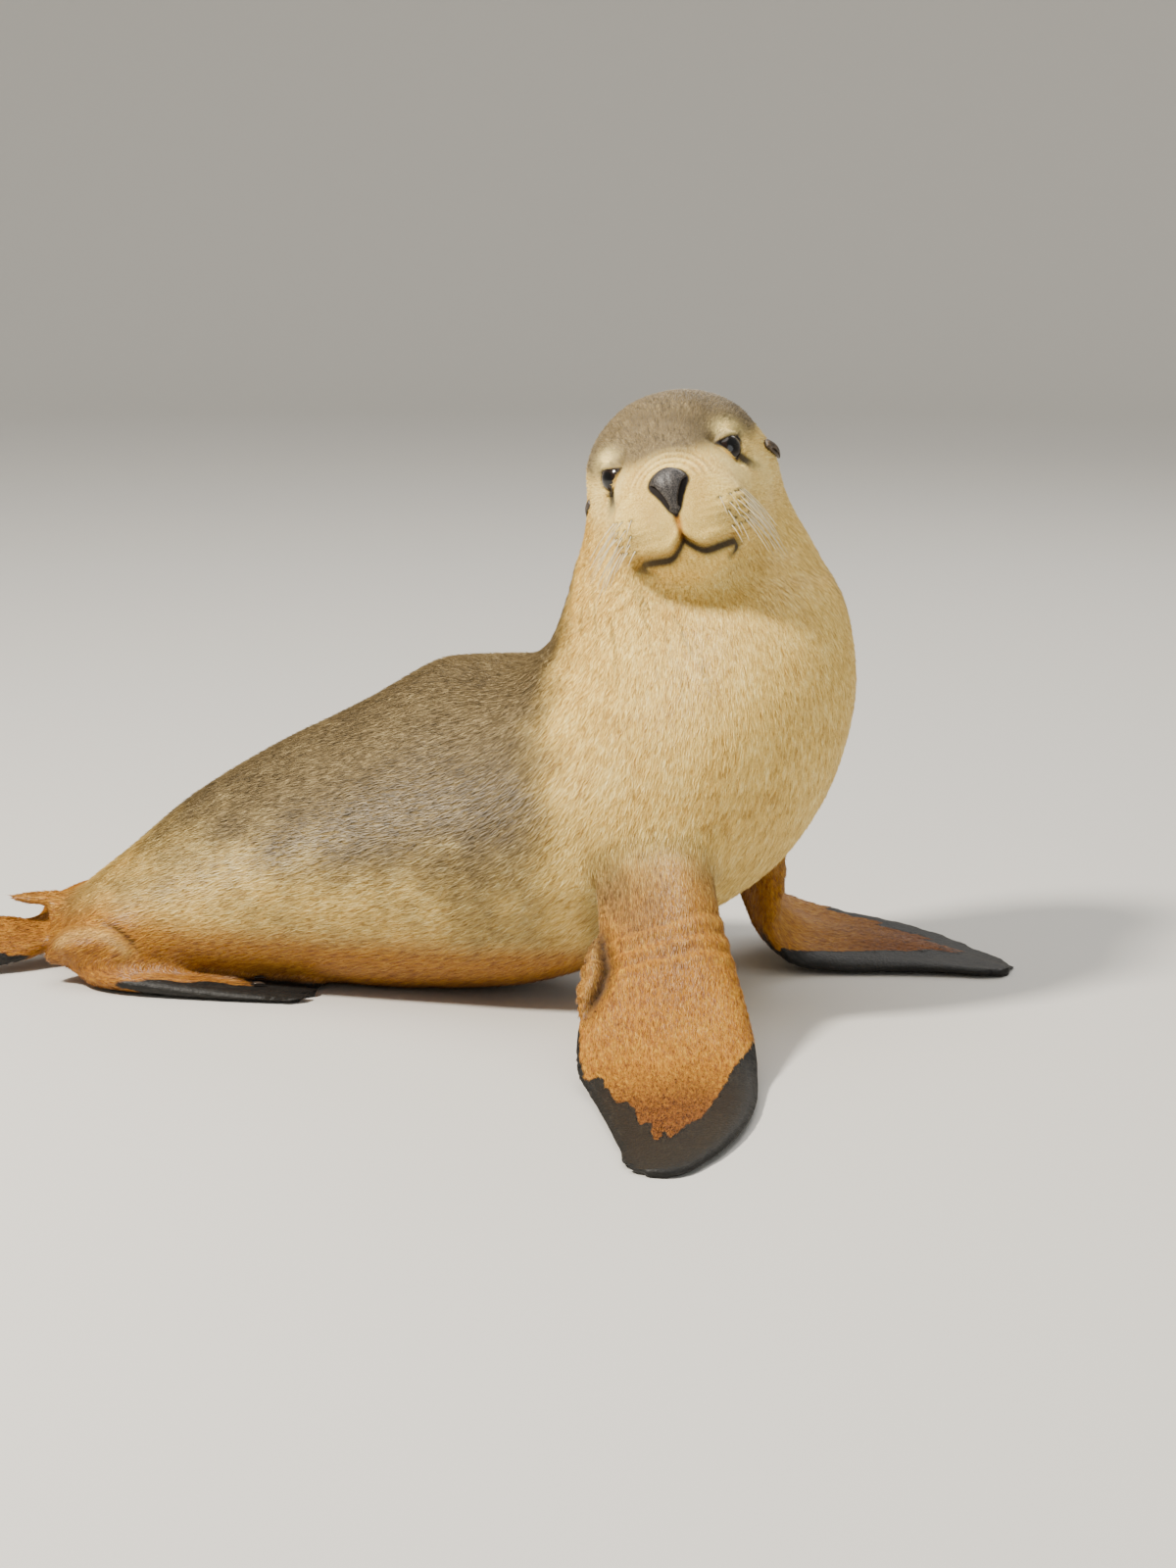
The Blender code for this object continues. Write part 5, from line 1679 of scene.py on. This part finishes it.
class StageSettings(bpy.types.PropertyGroup):
    """Floor, lights and camera."""
    floor_colour: FloatVectorProperty(name="Floor", description="Colour of the floor and backdrop", size=3,
                                      subtype="COLOR", default=linear("#CFCDC8")[:3], min=0, max=1)
    key_power: FloatProperty(name="Key light", description="Power of the main light", default=330.0, min=0,
                             unit="POWER")
    fill_power: FloatProperty(name="Fill light", description="Power of the light opposite the main one",
                              default=26.0, min=0, unit="POWER")
    overhead_power: FloatProperty(name="Overhead light", description="Power of the wide light over the floor",
                                  default=150.0, min=0, unit="POWER")
    camera_distance: FloatProperty(name="Camera distance", default=2.95, min=0.5, max=20, unit="LENGTH",
                                   description="Distance of the camera in front of the shoulders")
    camera_height: FloatProperty(name="Camera height", description="Height of the camera above the floor",
                                 default=0.8276, min=0.1, max=5, unit="LENGTH")
    camera_tilt: FloatProperty(name="Camera tilt", description="How far the camera looks down",
                               default=math.radians(12), subtype="ANGLE")
    lens: FloatProperty(name="Lens", description="Focal length for a 36 mm long side", default=77.49, min=10,
                        max=300, unit="CAMERA")


class SEALION_OT_skin(bpy.types.Operator):
    """Build the one skin that stands for all the solids of flesh"""
    bl_idname = "sealion.skin"
    bl_label = "Skin"

    def execute(self, context):
        skin, pieces = make_skin(context.scene.sea_lion)
        skin["coat_pieces"] = pieces
        place_piece(skin, "back_fur", skin_material(), *FLESH)
        return {"FINISHED"}


class SEALION_OT_coat(bpy.types.Operator):
    """Grow the short coat over the skin"""
    bl_idname = "sealion.coat"
    bl_label = "Coat"

    def execute(self, context):
        skin = bpy.data.objects["skin"]
        material = hair_material()
        tree = coat_tree(material)
        for number in range(skin["coat_pieces"]):
            piece = make_coat(skin, number, tree, context.scene.sea_lion)
            place_piece(piece, "back_fur", None)
        return {"FINISHED"}


class SEALION_OT_eyes(bpy.types.Operator):
    """Set the eyeballs behind their lids"""
    bl_idname = "sealion.eyes"
    bl_label = "Eyes"

    def execute(self, context):
        material = eye_material()
        for name, side in SIDES.items():
            place_piece(make_eye("eyeball_" + name, side), "eye", material, "eye_" + name)
        return {"FINISHED"}


class SEALION_OT_nose(bpy.types.Operator):
    """Make the nose leather with its nostrils"""
    bl_idname = "sealion.nose"
    bl_label = "Nose"

    def execute(self, context):
        # The lighter colour is the painted highlight on the pebbles, the darker one the leather and its
        # painted shade.
        material = leather_material("Moist nose leather", "#1F1C1C", "#625C57", 0.0013, 0.0004)
        place_piece(make_nose("nose_leather"), "nose_leather", material, "nose")
        return {"FINISHED"}


class SEALION_OT_ears(bpy.types.Operator):
    """Make the small rolled ears"""
    bl_idname = "sealion.ears"
    bl_label = "Ears"

    def execute(self, context):
        # The lighter colour is the painted highlight on the pebbles, the darker one the skin and its painted
        # shade.
        material = leather_material("Ear skin", "#211A15", "#6E5A42", 0.0011, 0.0003)
        for name, side in SIDES.items():
            place_piece(make_ear("rolled_ear_" + name, side), "nose_leather", material, "ear_" + name)
        return {"FINISHED"}


class SEALION_OT_whiskers(bpy.types.Operator):
    """Set the whiskers in their pads"""
    bl_idname = "sealion.whiskers"
    bl_label = "Whiskers"

    def execute(self, context):
        finder = skin_finder(bpy.data.objects["skin"])
        material = keratin_material("Whisker horn", "#B9A67C", "#F6ECC8", 0.006)
        for name, side in SIDES.items():
            piece = make_whiskers("whiskers_" + name, side, finder, context.scene.sea_lion, material)
            place_piece(piece, "front_fur", None)
        return {"FINISHED"}


class SEALION_OT_claws(bpy.types.Operator):
    """Set the nails on the hind flippers"""
    bl_idname = "sealion.claws"
    bl_label = "Claws"

    def execute(self, context):
        material = keratin_material("Nail horn", "#15110F", "#4A3C30", 0.003)
        for side in SIDES:
            place_piece(make_claws("claws_" + side, side), "nose_leather", material)
        return {"FINISHED"}


class SEALION_OT_stage(bpy.types.Operator):
    """Set the floor, the lights and the camera"""
    bl_idname = "sealion.stage"
    bl_label = "Stage"

    def execute(self, context):
        settings = context.scene.sea_lion_stage
        make_floor(settings)
        add_lights(settings)
        add_camera(settings)
        return {"FINISHED"}


def make_floor(settings):
    """A plain pale floor that sweeps up all round into a backdrop, far enough off for every view."""
    flat, sweep, top = 5.5, 2.5, 4.5
    turn = np.linspace(0, math.pi / 2, 17)
    profile = [(flat * share, 0.0) for share in (0.25, 0.5, 0.75)]
    profile += [(flat + sweep * math.sin(angle), sweep * (1 - math.cos(angle))) for angle in turn]
    profile.append((flat + sweep, top))
    sides = 96
    verts = [(reach * math.cos(2 * math.pi * i / sides), reach * math.sin(2 * math.pi * i / sides), height)
             for reach, height in profile for i in range(sides)]
    verts.append((0, 0, 0))
    faces = [(len(verts) - 1, i, (i + 1) % sides) for i in range(sides)]
    for ring in range(len(profile) - 1):
        for i in range(sides):
            k = (i + 1) % sides
            faces.append((ring * sides + i, (ring + 1) * sides + i, (ring + 1) * sides + k, ring * sides + k))
    mesh = bpy.data.meshes.new("floor")
    mesh.from_pydata(verts, [], faces)
    mesh.shade_smooth()
    floor = add_object("floor", mesh)
    material, tree, shader = new_material("Matt studio paper")
    node = partial(add_node, tree)
    fibre = node("noise", node("place"), 1 / 0.004, 2.0, 0.55)
    set_sockets(tree, shader, {
        "Base Color": (*settings.floor_colour, 1),
        "Roughness": 0.9,
        "Normal": node("bump", fibre, 0.04, 0.001),
    })
    mesh.materials.append(material)
    return floor


def add_area_light(name, at, target, power, size, colour):
    light = bpy.data.lights.new(name, "AREA")
    light.energy = power
    light.shape = "DISK"
    light.size = size
    light.color = colour
    obj = add_object(name, light)
    obj.location = at
    obj.rotation_euler = (Vector(target) - Vector(at)).to_track_quat("-Z", "Y").to_euler()


def add_lights(settings):
    """A warm key from high on the left in front, a soft fill from the right, and a rim from behind."""
    middle = (0.1, 0.0, 0.25)
    add_area_light("key", (-2.1, -1.3, 3.3), middle, settings.key_power, 0.6, (1.0, 0.93, 0.82))
    add_area_light("overhead", (0.0, 0.0, 5.0), middle, settings.overhead_power, 5.0, (1.0, 0.98, 0.95))
    add_area_light("fill", (2.8, -2.2, 1.6), middle, settings.fill_power, 2.4, (0.90, 0.95, 1.0))
    add_area_light("rim", (1.2, 2.8, 2.4), middle, settings.fill_power, 1.6, (1.0, 0.98, 0.95))
    world = bpy.data.worlds.new("studio")
    world.use_nodes = True
    backdrop = world.node_tree.nodes["Background"]
    backdrop.inputs["Color"].default_value = (*settings.floor_colour, 1)
    backdrop.inputs["Strength"].default_value = 0.56
    bpy.context.scene.world = world


def add_camera(settings):
    camera = bpy.data.cameras.new("camera")
    camera.sensor_width = 36
    camera.lens = settings.lens
    obj = add_object("camera", camera)
    obj.location = (STANCE[0], STANCE[1] - settings.camera_distance, settings.camera_height)
    obj.rotation_euler = (math.pi / 2 - settings.camera_tilt, 0, 0)
    bpy.context.scene.camera = obj


class SEALION_PT_panel(bpy.types.Panel):
    """Lists the pieces of the sea lion and their settings"""
    bl_idname = "SEALION_PT_panel"
    bl_label = "Sea lion"
    bl_space_type = "VIEW_3D"
    bl_region_type = "UI"
    bl_category = "Sea lion"

    def draw(self, context):
        for settings in (context.scene.sea_lion, context.scene.sea_lion_stage):
            for name in settings.__annotations__:
                self.layout.prop(settings, name)
        for step in STEPS:
            self.layout.operator(step)


STEPS = ("sealion.skin", "sealion.coat", "sealion.eyes", "sealion.nose", "sealion.ears", "sealion.whiskers",
         "sealion.claws", "sealion.stage")
CLASSES = (SeaLionSettings, StageSettings, SEALION_OT_skin, SEALION_OT_coat, SEALION_OT_eyes, SEALION_OT_nose,
           SEALION_OT_ears, SEALION_OT_whiskers, SEALION_OT_claws, SEALION_OT_stage, SEALION_PT_panel)


def register():
    for item in CLASSES:
        bpy.utils.register_class(item)
    bpy.types.Scene.sea_lion = PointerProperty(type=SeaLionSettings)
    bpy.types.Scene.sea_lion_stage = PointerProperty(type=StageSettings)


def unregister():
    del bpy.types.Scene.sea_lion_stage
    del bpy.types.Scene.sea_lion
    for item in reversed(CLASSES):
        bpy.utils.unregister_class(item)


def main():
    register()
    for step in STEPS:
        group, name = step.split(".")
        getattr(getattr(bpy.ops, group), name)()


if __name__ == "__main__":
    main()
